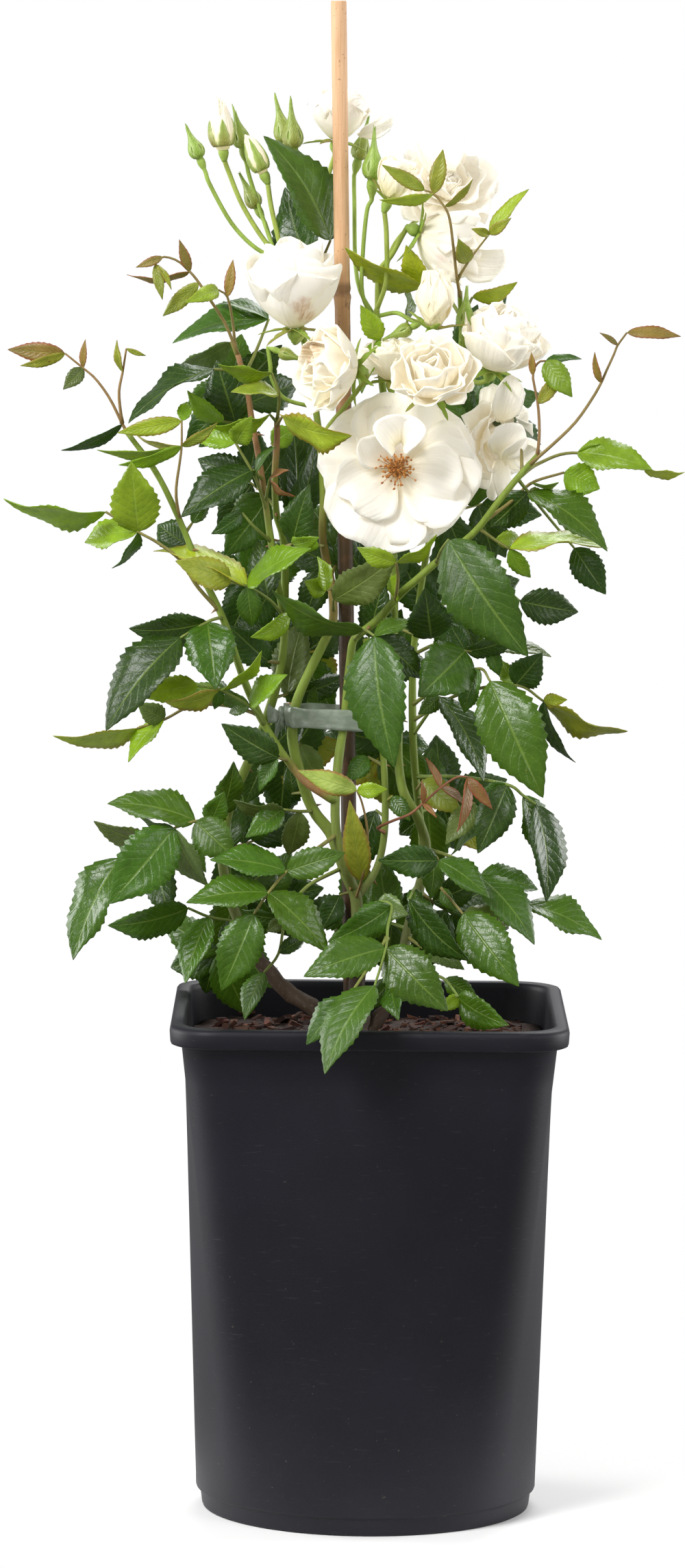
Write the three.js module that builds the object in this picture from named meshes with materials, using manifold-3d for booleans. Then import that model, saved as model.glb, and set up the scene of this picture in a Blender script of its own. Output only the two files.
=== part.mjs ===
// Potted climbing iceberg rose: a deep pot of compost, a cane, a tie, leafy stems, young shoots,
// flower trusses and white blooms. Millimetres, +Z up, the front faces -Y, origin under the pot.
import * as THREE from "three";
import { mergeGeometries, mergeVertices } from "three/addons/utils/BufferGeometryUtils.js";
import Module from "manifold-3d";

const wasm = await Module();
wasm.setup();

// Driving dimensions of the pot and the soil
const pot = {
  height: 284,
  rimHalf: 110,
  rimBand: 11,
  wallHalf: 103.6,
  wall: 2.4,
  stepHeight: 12,
  stepRise: 2.5,
  wallRadius: 95.7,
  footRadius: 93.2,
  footBottomRadius: 92.2,
  floor: 4,
  cornerAngle: 37,
  sections: 32,
  drainRadius: 5,
  drainAway: 58,
};
const soil = { level: 264, rise: 2.2, gap: 0.35, chips: 9 };
const cane = { radius: 4.4, foot: [-7, 120, 14], top: [-21.5, 844.5, 5], knot: 683 };
const tie = {
  left: -49,
  right: 8,
  front: -15,
  back: 16.5,
  height: 12,
  level: 446,
  thickness: 0.8,
  squareness: 0.6,
  slope: 0.04,
};

// Fine sizes that the whole plant shares
const plant = {
  thickness: 0.8,
  gap: 0.32,
  rootGap: 0.42,
  stalkHalf: 0.8,
  youngStalkHalf: 0.6,
  sideStep: 1.6,
  trueWidth: 0.5,
  youngWidth: 0.26,
  fold: 0.22,
  arch: 0.08,
  outward: 0.5,
  smallWidth: 9,
  smallLength: 20,
  baseSkip: 2,
};

// A reading is [across, up, depth]: a place seen on the middle plane, moved along the line of
// sight to its depth. Depth is negative towards the viewer.
const eye = { across: -16, up: 829, distance: 4000 };

function seen([across, up, depth]) {
  const k = (eye.distance + depth) / eye.distance;
  return new THREE.Vector3(eye.across + (across - eye.across) * k, depth, eye.up + (up - eye.up) * k);
}

// Stems: node, node that it starts from, first and last radius, readings
const stems = [
  ["rose_crown", "", 12, 8, [[-6, 222, -7], [-7, 246, -7], [-9, 268, -6], [-8, 286, -5]]],
  ["rose_crown", "", 5.2, 3.6, [[-12, 262, -6], [-28, 279, 0], [-45, 291, 4], [-62, 309, 6], [-70, 322, 8]]],
  ["rose_crown", "", 5, 3.8, [[-8, 275, -2], [-7, 302, -4], [-7, 329, -5]]],
  ["rose_crown", "", 4.6, 3.4, [[-4, 262, -6], [9, 281, 2], [16, 296, 8]]],
  ["stem_left_back", "rose_crown", 3.2, 1.7, [[-70, 321, 8], [-79, 345, 10], [-83, 370, 10], [-78, 398, 8],
    [-68, 422, 8], [-58, 447, 9], [-50, 480, 10], [-49, 515, 12], [-50, 545, 10], [-54, 560, 6],
    [-55, 580, 4], [-54, 600, 2], [-54, 612, 2]]],
  ["stem_left_back", "", 2.2, 1.5, [[-49, 500, 11], [-53, 520, 2], [-57, 545, -2], [-60, 565, -2],
    [-63, 585, 0], [-68, 612, 2], [-71, 630, 2], [-76, 648, 2]]],
  ["stem_centre", "rose_crown", 3.6, 1.8, [[-7, 328, -5], [-8, 345, -6], [-13, 357, -7], [-22, 380, -8],
    [-31, 392, -8], [-37, 405, -8], [-44, 432, -8], [-43, 450, -6], [-38, 465, -4], [-27, 488, 0],
    [-22, 500, 4], [-23, 520, 6], [-28, 545, 8], [-28, 570, 10], [-30, 600, 12], [-36, 640, 12],
    [-41, 664, 10]]],
  ["stem_centre", "", 2.2, 1.6, [[-7, 345, -5], [2, 358, 0], [7, 375, 2], [8, 400, 2], [6, 430, 2],
    [2, 448, 1], [0, 465, 4], [-4, 490, 6]]],
  ["stem_right", "stem_centre", 2.9, 1.7, [[-9, 349, -7], [-14, 362, -14], [-19, 380, -17], [-20, 400, -16],
    [-18, 425, -11], [-15, 446, -9], [-12, 480, -10], [-10, 490, -11], [-3, 496, -14], [5, 503, -18],
    [15, 515, -24], [25, 524, -28], [35, 533, -30], [48, 543, -34], [58, 552, -38], [70, 568, -42],
    [82, 583, -42], [91, 593, -40]]],
  ["stem_left_long", "stem_right", 2.5, 1.5, [[-20, 400, -16], [-25, 402, -20], [-40, 413, -21],
    [-59, 440, -19], [-72, 468, -18], [-83, 500, -16], [-95, 525, -16], [-108, 556, -16],
    [-121, 582, -16], [-137, 604, -14]]],
  ["stem_middle", "rose_crown", 3.1, 1.8, [[16, 295, 8], [22, 330, 12], [31, 368, 12], [27, 388, 8],
    [18, 405, 8], [15, 425, 12], [15, 450, 16], [12, 480, 18], [12, 520, 18], [10, 560, 18],
    [8, 600, 16], [4, 635, 14], [0, 662, 12]]],
  ["stem_tall_right", "stem_middle", 2.6, 1.4, [[22, 332, 12], [28, 350, 22], [29, 375, 24], [25, 410, 24],
    [23, 440, 24], [23, 480, 24], [27, 520, 20], [34, 560, 18], [42, 600, 16], [47, 640, 14],
    [48, 662, 10], [47, 684, -2]]],
  ["truss_left", "stem_centre", 1.9, 1.5, [[-41, 663, 10], [-44, 680, 12], [-48, 695, 12], [-52, 702, 12]]],
  ["truss_middle", "stem_middle", 1.9, 1.6, [[0, 661, 12], [1, 668, 11], [1, 674, 10]]],
];

// Leaves: node, stalk readings from the stem outwards, leaflets as
// [stalk point, across, up, depth of the tip, width seen]
const leaves = [
  // On the long left stem
  ["stem_left_long", [[-85, 503, -16], [-98, 519, -20], [-107, 533, -22], [-120, 543, -22], [-131, 549, -22],
    [-149, 560, -20]], [[5, -206, 567, -14, 12], [4, -135, 588, -30, 27], [4, -145, 528, -16, 6],
      [4, -161, 543, -8, 14]]],
  ["stem_left_long", [[-60, 442, -19], [-68, 452, -26], [-85, 461, -28], [-97, 463, -28]],
    [[3, -128, 456, -26, 14], [2, -115, 453, -38, 10], [2, -113, 452, -20, 8], [2, -88, 450, -24, 6],
      [1, -80, 448, -20, 7], [1, -90, 468, -18, 10], [2, -61, 482, -38, 7], [1, -48, 470, -36, 11]]],
  ["stem_left_long", [[-63, 449, -19], [-80, 452, -12], [-100, 452, -8], [-116, 444, -8], [-131, 439, -8]],
    [[4, -178, 435, -4, 12], [3, -136, 420, -12, 9], [3, -131, 453, -14, 13]]],
  ["stem_left_long", [[-84, 501, -16], [-92, 499, -24], [-107, 490, -30]],
    [[2, -149, 438, -40, 26], [1, -136, 494, -20, 19], [1, -87, 461, -38, 28]]],
  ["stem_left_long", [[-102, 541, -16], [-104, 542, -10]], [[1, -120, 553, -2, 18], [1, -82, 535, -8, 8]]],
  ["stem_left_long", [[-104, 547, -16], [-101, 554, -12]], [[1, -92, 569, -8, 9]]],
  ["stem_left_long", [[-47, 421, -20], [-52, 423, -28]], [[1, -84, 442, -34, 19], [1, -63, 404, -24, 9]]],
  // On the left back stem
  ["stem_left_back", [[-62, 580, 0], [-67, 584, -8]], [[1, -107, 557, -14, 20]]],
  ["stem_left_back", [[-57, 545, -2], [-66, 552, -10], [-73, 560, -12]], [[2, -90, 548, -16, 10]]],
  ["stem_left_back", [[-72, 636, 2], [-66, 650, 10], [-59, 668, 14]],
    [[2, -113, 656, 14, 15], [2, -87, 677, 20, 6], [1, -63, 644, 16, 9]]],
  ["stem_left_back", [[-75, 645, 2], [-80, 655, 10]], [[1, -109, 642, 18, 12]]],
  ["stem_left_back", [[-72, 634, 2], [-81, 639, -4], [-89, 640, -8]], [[2, -137, 610, -14, 10]]],
  ["stem_left_back", [[-54, 611, 2], [-53, 626, -8], [-57, 638, -10]],
    [[2, -87, 643, -12, 8], [1, -80, 627, -14, 7]]],
  ["stem_left_back", [[-67, 606, 2], [-77, 610, 10], [-84, 611, 6]],
    [[1, -88, 645, 16, 26], [2, -104, 628, 0, 11]]],
  ["stem_left_back", [[-54, 611, 2], [-58, 615, -4]], [[1, -91, 607, -10, 8]]],
  ["stem_left_back", [[-54, 609, 2], [-51, 614, -26]], [[1, -12, 604, -62, 16]]],
  ["stem_left_back", [[-60, 562, -2], [-66, 580, -8], [-77, 599, -10]],
    [[2, -68, 614, -14, 13], [2, -102, 603, -4, 12], [1, -55, 597, -16, 4]]],
  ["stem_left_back", [[-54, 596, 2], [-57, 599, 10]], [[1, -44, 608, 10, 13]]],
  ["stem_left_back", [[-60, 567, -2], [-58, 579, -8]], [[1, -47, 584, -12, 2.5], [1, -44, 569, -10, 3]]],
  ["stem_left_back", [[-50, 546, 10], [-44, 556, 18]], [[1, -46, 612, 24, 24], [1, -33, 602, 16, 18]]],
  ["stem_left_back", [[-50, 540, 10], [-45, 543, 2]], [[1, -36, 576, -6, 18], [1, -30, 547, -8, 10]]],
  ["stem_left_back", [[-49, 503, 11], [-58, 512, -8], [-70, 519, -18], [-79, 521, -20]],
    [[3, -110, 533, -32, 17], [2, -34, 540, -34, 13], [1, -64, 545, 2, 18], [2, -67, 496, -12, 14],
      [2, -122, 540, -6, 10]]],
  ["stem_left_back", [[-49, 495, 11], [-46, 503, -8]], [[1, -67, 490, -20, 11]]],
  ["stem_left_back", [[-51, 477, 10], [-58, 477, 6]], [[1, -80, 497, 4, 20]]],
  ["stem_left_back", [[-55, 458, 9], [-47, 459, 16]], [[1, -38, 503, 20, 20], [1, -14, 470, 28, 15]]],
  ["stem_left_back", [[-79, 394, 8], [-84, 391, -4]], [[1, -77, 421, -12, 15]]],
  ["stem_left_back", [[-82, 378, 10], [-90, 386, -16], [-98, 387, -28], [-110, 383, -36]],
    [[3, -146, 340, -46, 32], [2, -147, 398, -30, 17], [2, -75, 366, -36, 22], [1, -82, 404, -26, 14],
      [3, -130, 390, -24, 7], [3, -91, 350, -26, 15]]],
  ["stem_left_back", [[-83, 368, 10], [-104, 374, 6], [-120, 374, -2], [-140, 366, -6]],
    [[3, -166, 308, -12, 24], [2, -155, 387, -4, 15], [2, -111, 331, -14, 20], [1, -92, 358, 0, 10]]],
  ["stem_left_back", [[-72, 328, 8], [-79, 331, -4], [-90, 333, -10], [-102, 338, -14]],
    [[3, -147, 328, -18, 20], [2, -103, 295, -22, 17], [1, -85, 305, -14, 11]]],
  // On the centre stem
  ["stem_centre", [[-22, 506, 5], [-22, 512, -14]], [[1, 14, 537, -22, 22]]],
  ["stem_centre", [[-23, 520, 6], [-26, 517, -6]], [[1, -38, 522, -12, 12], [1, -31, 536, -14, 9]]],
  ["stem_centre", [[-24, 526, 6], [-29, 529, 14]], [[1, -38, 500, 20, 17]]],
  ["stem_centre", [[-3, 484, 6], [-2, 491, 14]], [[1, 6, 524, 20, 18]]],
  ["stem_centre", [[-27, 541, 8], [-30, 542, -4]], [[1, -44, 548, -8, 10]]],
  ["stem_centre", [[-43, 428, -8], [-40, 431, 0]], [[1, -28, 407, 4, 15]]],
  ["stem_centre", [[-37, 404, -8], [-44, 403, 0]], [[1, -46, 421, 0, 9]]],
  ["stem_centre", [[-32, 394, -8], [-40, 393, -16], [-49, 394, -20]],
    [[2, -77, 398, -30, 11], [2, -70, 378, -22, 14], [1, -46, 368, -6, 15]]],
  ["stem_right", [[-19, 380, -17], [-34, 369, -30], [-47, 359, -46], [-57, 347, -52], [-65, 335, -54]],
    [[4, -83, 291, -60, 25], [3, -23, 313, -58, 20], [3, -103, 341, -54, 16], [2, -14, 370, -50, 17],
      [2, -90, 365, -48, 14]]],
  ["stem_centre", [[-9, 349, -6], [-17, 346, 0]], [[1, -27, 326, -2, 14]]],
  ["stem_centre", [[-16, 363, -7], [-36, 350, -16], [-47, 333, -24], [-51, 313, -32], [-59, 302, -38]],
    [[4, -70, 275, -44, 12], [3, -36, 321, -26, 8], [2, -58, 325, -20, 8], [2, -72, 337, -18, 10]]],
  ["stem_centre", [[8, 398, 2], [12, 402, 0]], [[1, 22, 388, -4, 10]]],
  ["stem_centre", [[8, 390, 2], [3, 394, 12]], [[1, -6, 358, 18, 18]]],
  ["stem_centre", [[7, 420, 2], [-2, 424, 4]], [[1, -14, 410, 6, 12]]],
  // The leaf that hangs over the rim, on the centre stem
  ["stem_centre", [[-7, 334, -5], [4, 342, -28], [12, 340, -48], [10, 328, -64], [9, 316, -78],
    [3, 295, -104]],
    [[5, -25, 245, -126, 20], [4, 44, 281, -94, 28], [4, -37, 300, -86, 21], [2, -23, 319, -62, 20],
      [1, 22, 335, -38, 15]]],
  ["stem_centre", [[9, 316, -78], [-2, 303, -94], [-12, 288, -106]], [[2, -35, 261, -119, 15]]],
  // On the right stem
  ["stem_right", [[-10, 490, -11], [-5, 495, -22], [1, 492, -34]],
    [[2, 13, 418, -46, 34], [2, 28, 468, -26, 18], [1, -57, 515, -26, 14], [2, 25, 500, -30, 8]]],
  ["stem_right", [[13, 513, -23], [14, 524, -52], [13, 533, -66]],
    [[2, -9, 541, -68, 11], [2, 36, 548, -70, 7], [0, 14, 527, -34, 6]]],
  ["stem_right", [[35, 533, -30], [38, 540, -42], [42, 546, -48]], [[2, 87, 481, -60, 38]]],
  ["stem_right", [[59, 553, -38], [68, 546, -36], [76, 541, -36]],
    [[2, 131, 542, -38, 9], [2, 88, 525, -32, 10], [1, 82, 547, -28, 10]]],
  ["stem_right", [[48, 543, -34], [66, 526, -28], [82, 512, -26]], [[2, 115, 506, -22, 20]]],
  ["stem_right", [[5, 503, -18], [20, 494, -22], [33, 491, -28]], [[2, 29, 519, -36, 25]]],
  ["stem_right", [[80, 581, -42], [86, 573, -36], [100, 556, -24], [112, 542, -24]],
    [[3, 130, 516, -26, 18], [1, 131, 541, -40, 17], [1, 65, 553, -26, 18], [1, 100, 566, -28, 6]]],
  ["stem_right", [[62, 557, -39], [76, 567, -34], [88, 578, -28], [106, 584, -26]],
    [[3, 126, 575, -26, 19], [2, 103, 578, -36, 4]]],
  ["stem_right", [[78, 578, -42], [92, 589, -26], [113, 595, -28], [150, 587, -30]],
    [[3, 173, 584, -28, 5], [2, 155, 586, -36, 17], [2, 134, 602, -24, 8]]],
  ["stem_right", [[83, 584, -42], [82, 600, -22]], [[1, 69, 613, 22, 9], [1, 72, 618, 30, 6]]],
  // On the middle stem
  ["stem_middle", [[22, 334, 12], [25, 350, -8], [22, 344, -34]],
    [[2, 55, 309, -52, 19], [2, 34, 309, -24, 12], [1, 25, 336, -14, 9]]],
  ["stem_middle", [[30, 364, 12], [36, 368, -12], [38, 366, -24]],
    [[2, 67, 345, -30, 14], [2, 4, 366, -34, 18], [1, 34, 344, -14, 13]]],
  ["stem_middle", [[18, 306, 9], [32, 302, -8], [42, 299, -22], [50, 289, -36]],
    [[3, 78, 273, -62, 18], [2, 61, 288, -24, 12], [3, 40, 281, -46, 8]]],
  ["stem_middle", [[21, 322, 11], [33, 314, 0]], [[1, 53, 305, -8, 10]]],
  ["stem_middle", [[17, 300, 8], [12, 300, -12]], [[1, 17, 275, -30, 14], [1, -4, 281, -26, 12]]],
  ["stem_middle", [[1, 655, 12], [3, 657, 2]], [[1, -8, 676, -4, 12], [1, -7, 627, 0, 10]]],
  ["stem_middle", [[2, 650, 13], [16, 662, 16], [18, 668, 18]], [[2, 16, 689, 20, 5]]],
  ["stem_middle", [[12, 500, 18], [0, 516, 26]], [[1, -18, 556, 30, 20], [1, 20, 548, 34, 20]]],
  // On the tall right stem
  ["stem_tall_right", [[23, 480, 24], [38, 488, 4], [52, 484, -14], [66, 485, -8]],
    [[2, 26, 458, -34, 32], [2, 42, 501, -12, 12], [2, 81, 493, -18, 12], [3, 100, 481, -8, 7],
      [3, 71, 470, -8, 9]]],
  ["stem_tall_right", [[23, 455, 24], [44, 468, 2], [60, 474, -20], [66, 467, -28]],
    [[3, 96, 402, -46, 36], [2, 52, 449, -8, 12]]],
  ["stem_tall_right", [[23, 445, 24], [50, 460, 8], [80, 465, -6], [96, 456, -12]],
    [[3, 143, 439, -20, 11], [3, 109, 457, -22, 8], [2, 95, 483, -16, 19], [2, 71, 479, 2, 9],
      [3, 113, 421, -8, 8]]],
  ["stem_tall_right", [[24, 435, 24], [38, 458, 8]], [[1, 63, 411, -4, 17], [1, 26, 448, 4, 10]]],
  ["stem_tall_right", [[25, 412, 24], [50, 413, 10], [76, 409, -8], [85, 403, -8], [92, 398, -8]],
    [[2, 60, 370, -16, 21], [4, 99, 343, -10, 19], [2, 62, 402, -2, 10], [3, 93, 369, 4, 14]]],
  ["stem_tall_right", [[26, 405, 24], [29, 411, 14]], [[1, 51, 392, 6, 16]]],
  ["stem_tall_right", [[27, 400, 24], [45, 402, 8], [58, 398, -2]], [[2, 42, 375, -10, 14], [2, 45, 369, 6, 9]]],
  ["stem_tall_right", [[29, 360, 23], [40, 350, 4], [52, 336, -18]],
    [[2, 84, 295, -40, 28], [1, 49, 337, -2, 8], [2, 78, 329, -8, 12]]],
  ["stem_tall_right", [[29, 375, 24], [50, 366, 6], [61, 357, -6]], [[2, 93, 320, -22, 20], [2, 94, 350, 4, 14]]],
  ["stem_tall_right", [[29, 368, 24], [60, 352, 14], [88, 342, 8]], [[2, 130, 322, 4, 15]]],
  ["stem_tall_right", [[44, 606, 16], [52, 613, 4]], [[1, 35, 621, 2, 8]]],
  ["stem_tall_right", [[47, 645, 14], [46, 652, 22]], [[1, 57, 677, 26, 14], [1, 73, 682, 28, 12]]],
  ["stem_tall_right", [[48, 668, 8], [54, 681, 8]], [[1, 79, 689, 4, 9]]],
  ["stem_tall_right", [[48, 670, 7], [38, 684, 10], [28, 687, 8]], [[2, -17, 708, 2, 12], [2, 17, 710, 4, 14]]],
  // On the flower trusses
  ["truss_left", [[-42, 668, 11], [-34, 690, 14], [-25, 712, 14]],
    [[2, -61, 770, 8, 26], [1, -50, 741, 18, 26], [2, -30, 742, 22, 12]]],
  // Behind the stems
  ["stem_left_back", [[-83, 368, 10], [-78, 372, 26], [-66, 376, 40]],
    [[2, -38, 392, 52, 20], [2, -60, 398, 44, 16], [1, -62, 356, 40, 18]]],
  ["stem_left_back", [[-80, 350, 10], [-70, 346, 28], [-58, 344, 42]],
    [[2, -26, 350, 52, 20], [2, -44, 322, 50, 18], [1, -66, 322, 36, 16]]],
  ["stem_left_back", [[-66, 426, 8], [-58, 424, 30], [-46, 422, 44]],
    [[2, -16, 432, 52, 20], [2, -34, 404, 50, 20], [1, -52, 446, 38, 16]]],
  ["stem_left_back", [[-52, 470, 10], [-46, 476, 30], [-38, 482, 44]],
    [[2, -14, 500, 52, 22], [2, -20, 466, 54, 20], [1, -58, 500, 38, 18]]],
  ["stem_left_back", [[-49, 512, 12], [-58, 520, 32], [-70, 526, 46]],
    [[2, -100, 532, 54, 20], [2, -78, 500, 56, 18], [1, -46, 536, 44, 18]]],
  ["stem_left_back", [[-54, 562, 6], [-60, 570, 30], [-70, 578, 44]],
    [[2, -98, 590, 52, 20], [2, -64, 606, 54, 18], [1, -78, 556, 40, 18]]],
  ["stem_left_back", [[-68, 612, 2], [-72, 622, 26], [-80, 630, 40]],
    [[2, -104, 620, 50, 18], [2, -74, 660, 52, 18], [1, -54, 640, 36, 16]]],
  ["stem_left_back", [[-71, 324, 8], [-78, 318, 30], [-86, 312, 44]],
    [[2, -112, 304, 56, 20], [2, -92, 290, 58, 16], [1, -58, 302, 40, 16]]],
  ["stem_centre", [[-23, 524, 6], [-20, 532, 28], [-14, 538, 42]],
    [[2, 14, 548, 52, 22], [2, -16, 574, 46, 20], [1, -42, 544, 40, 18]]],
  ["stem_middle", [[12, 470, 17], [8, 474, 36], [2, 478, 50]],
    [[2, -20, 488, 58, 20], [2, 10, 446, 60, 22], [1, 30, 478, 46, 18]]],
  ["stem_middle", [[15, 436, 14], [10, 430, 34], [4, 424, 48]],
    [[2, -18, 412, 56, 20], [2, 12, 394, 58, 20], [1, 32, 430, 44, 18]]],
  ["stem_middle", [[20, 326, 11], [6, 332, 34], [-8, 336, 48]],
    [[2, -38, 338, 58, 20], [2, -14, 308, 60, 20], [1, 10, 364, 44, 20]]],
  ["stem_middle", [[10, 556, 18], [4, 562, 38], [-4, 568, 52]],
    [[2, -26, 586, 60, 20], [2, 18, 592, 60, 20], [1, -18, 548, 46, 18]]],
  ["stem_tall_right", [[26, 392, 24], [34, 396, 42], [44, 400, 56]],
    [[2, 76, 412, 64, 22], [2, 60, 372, 66, 20], [1, 16, 380, 50, 18]]],
  ["stem_tall_right", [[24, 500, 22], [36, 508, 40], [50, 514, 54]],
    [[2, 82, 524, 62, 22], [2, 60, 486, 66, 20], [1, 22, 530, 50, 20]]],
  ["stem_tall_right", [[28, 348, 21], [36, 342, 42], [46, 336, 56]],
    [[2, 78, 328, 66, 22], [2, 48, 306, 66, 20], [1, 14, 340, 48, 18]]],
  ["stem_tall_right", [[33, 556, 18], [46, 562, 38], [60, 566, 52]],
    [[2, 94, 560, 60, 20], [2, 74, 536, 64, 18], [1, 38, 536, 44, 16]]],
  ["stem_tall_right", [[43, 604, 16], [52, 612, 36], [62, 618, 50]],
    [[2, 92, 628, 58, 18], [2, 70, 650, 60, 18], [1, 44, 640, 42, 16]]],
];

// Young shoots: node, stem that it starts from, stalk readings, leaflets in the same form
const shoots = [
  ["shoot_far_left", "stem_left_long", [[-136, 603, -14], [-140, 609, -14], [-147, 623, -14],
    [-155, 634, -13], [-162, 640, -12], [-172, 648, -12]],
    [[1, -174, 594, -10, 6], [4, -173, 628, -16, 9], [4, -161, 656, -12, 4], [5, -204, 650, -10, 11],
      [5, -197, 641, -14, 6]]],
  ["shoot_far_left", "stem_left_long", [[-140, 609, -14], [-142, 626, -16], [-140, 638, -15], [-138, 651, -15]],
    [[3, -127, 647, -14, 3], [2, -143, 656, -21, 4]]],
  ["shoot_left_fork", "stem_left_long", [[-108, 556, -16], [-110, 571, -19], [-108, 588, -20],
    [-107, 597, -20], [-107, 611, -20]],
    [[3, -154, 595, -12, 6], [3, -142, 586, -22, 7], [3, -135, 604, -6, 4], [3, -87, 610, -26, 6],
      [4, -143, 604, -20, 10], [4, -104, 622, -14, 8]]],
  ["shoot_upper_left", "stem_left_back", [[-76, 648, 2], [-83, 665, 0], [-92, 679, -2], [-98, 688, -2],
    [-103, 694, -2], [-110, 700, -2], [-118, 702, -2], [-122, 698, -2]],
    [[3, -118, 669, 4, 9], [4, -138, 691, 6, 4], [4, -109, 712, -6, 6], [6, -133, 696, -4, 5],
      [7, -118, 678, -6, 6], [7, -113, 684, 2, 3]]],
  ["shoot_upper_left", "stem_left_back", [[-78, 652, 2], [-79, 666, 6], [-82, 680, 4], [-87, 684, 3]],
    [[2, -79, 701, 6, 6], [3, -105, 677, -10, 9]]],
  ["shoot_top_right", "stem_tall_right", [[47, 683, 0], [45, 694, -14], [43, 710, -21], [41, 724, -23],
    [38, 731, -23], [32, 738, -22], [27, 740, -22]],
    [[4, 54, 746, -24, 4], [5, 2, 734, -28, 6], [5, 37, 763, -20, 9], [6, 3, 754, -24, 8]]],
  ["shoot_top_right", "stem_tall_right", [[45, 694, -14], [51, 700, -20], [56, 707, -20], [63, 716, -19]],
    [[1, 46, 713, -28, 10], [3, 53, 719, -24, 5], [3, 85, 741, -17, 7], [3, 75, 725, -26, 6]]],
  ["shoot_right", "stem_right", [[91, 592, -40], [92, 606, -40], [91, 622, -38], [88, 638, -36],
    [91, 645, -35], [95, 646, -34]],
    [[2, 104, 639, -34, 8], [3, 87, 651, -38, 4], [5, 110, 626, -32, 14], [5, 115, 647, -28, 4]]],
  ["shoot_far_right", "stem_right", [[86, 587, -41], [100, 600, -44], [112, 612, -42], [121, 625, -38],
    [126, 634, -38], [129, 641, -37], [133, 650, -36], [135, 655, -36], [140, 662, -36]],
    [[4, 122, 651, -42, 4], [7, 125, 662, -38, 3], [8, 170, 660, -34, 7]]],
  ["shoot_red", "stem_centre", [[7, 382, 2], [4, 384, -12], [12, 388, -18], [22, 392, -20], [29, 398, -22],
    [39, 407, -24], [48, 413, -26], [54, 413, -26]],
    [[4, 28, 411, -26, 3], [4, 37, 390, -28, 3], [5, 30, 424, -24, 4], [5, 52, 398, -12, 4],
      [7, 68, 395, -28, 7], [7, 49, 382, -32, 6]]],
  ["shoot_low_red", "stem_centre", [[-8, 344, -6], [-5, 354, -20], [-2, 368, -26], [-2, 384, -28],
    [-5, 398, -30], [-8, 405, -32]],
    [[1, -12, 400, -36, 15], [5, -41, 416, -40, 13], [5, 9, 406, -34, 9]]],
];

// Flower stalks that end in a bloom or a bud: node, stalk readings, base, top
const blooms = [
  { name: "bloom_top", kind: "cup", node: "truss_left", stalk: [[-43, 676, 12], [-34, 712, 26], [-28, 742, 32]],
    base: [-22, 767, 34], top: [-19, 798, 36], length: 33, turn: 20 },
  { name: "bloom_left", kind: "cup", node: "stem_centre", stalk: [[-40, 659, 10], [-44, 655, 0]],
    base: [-45, 663, -14], top: [-46, 712, -20], length: 51, turn: 10 },
  { name: "bloom_brown_edge", kind: "cup", node: "stem_centre", stalk: [[-30, 602, 12], [-25, 609, 0],
    [-16, 620, -6], [-5, 635, -16]], base: [-11, 640, -33], top: [-46, 643, -52], length: 37, turn: 30, spread: -8 },
  { name: "bloom_small", kind: "small", node: "stem_middle", stalk: [[5, 628, 14], [9, 626, -2]],
    base: [9, 635, -2], top: [7, 659, -8], length: 22, turn: 50 },
  { name: "bloom_cup", kind: "cup", node: "stem_tall_right", stalk: [[44, 612, 16], [40, 626, 2], [35, 631, -16]],
    base: [33, 630, -36], top: [32, 653, -66], length: 36, turn: 0, spread: 12 },
  { name: "bloom_open", kind: "open", node: "stem_middle", stalk: [[10, 563, 18], [14, 578, 2]],
    base: [13, 585, -22], top: [13, 587, -60], length: 42, turn: 12 },
  { name: "bloom_right", kind: "full", node: "stem_tall_right", stalk: [[41, 594, 16], [49, 602, 14]],
    base: [62, 603, 10], top: [84, 598, -12], length: 28, turn: 40 },
  { name: "bloom_right_upper", kind: "cup", node: "stem_tall_right", stalk: [[47, 641, 14], [56, 634, 4]],
    base: [65, 641, -6], top: [80, 682, -20], length: 40, turn: 25 },
  { name: "bloom_crest", kind: "full", node: "truss_middle", stalk: [[4, 684, 14], [8, 704, 24], [18, 719, 34]],
    base: [38, 738, 50], top: [44, 754, 22], length: 25, turn: 5 },
  { name: "bloom_crest_low", kind: "cup", node: "truss_middle", stalk: [[-1, 672, 12], [2, 694, 12], [9, 704, 8],
    [16, 717, 4]], base: [24, 717, 3], top: [64, 701, 9], length: 40, turn: 15, spread: -8 },
  { name: "bloom_half_open", kind: "tulip", node: "stem_tall_right", stalk: [[47, 652, 13], [40, 650, -4],
    [33, 655, -18]], base: [32, 664, -22], top: [35, 697, -24], length: 33, turn: 70 },
  { name: "bud_cream", kind: "tulip", node: "truss_middle", stalk: [[2, 674, 11], [6, 690, 2], [6, 715, -6]],
    base: [7, 735, -9], top: [15, 758, -12], length: 24, turn: 0, spread: 8 },
  { name: "bud_white", kind: "bud", node: "truss_left", stalk: [[-50, 699, 12], [-62, 712, 14], [-74, 731, 14],
    [-82, 750, 13]], base: [-85, 763, 12], top: [-88, 790, 12], length: 27, turn: 30 },
  { name: "bud_yellow", kind: "bud", node: "truss_left", stalk: [[-51, 700, 12], [-54, 713, 6], [-58, 730, 4]],
    base: [-63, 750, 4], top: [-72, 770, 4], length: 21, turn: 0 },
];
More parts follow.
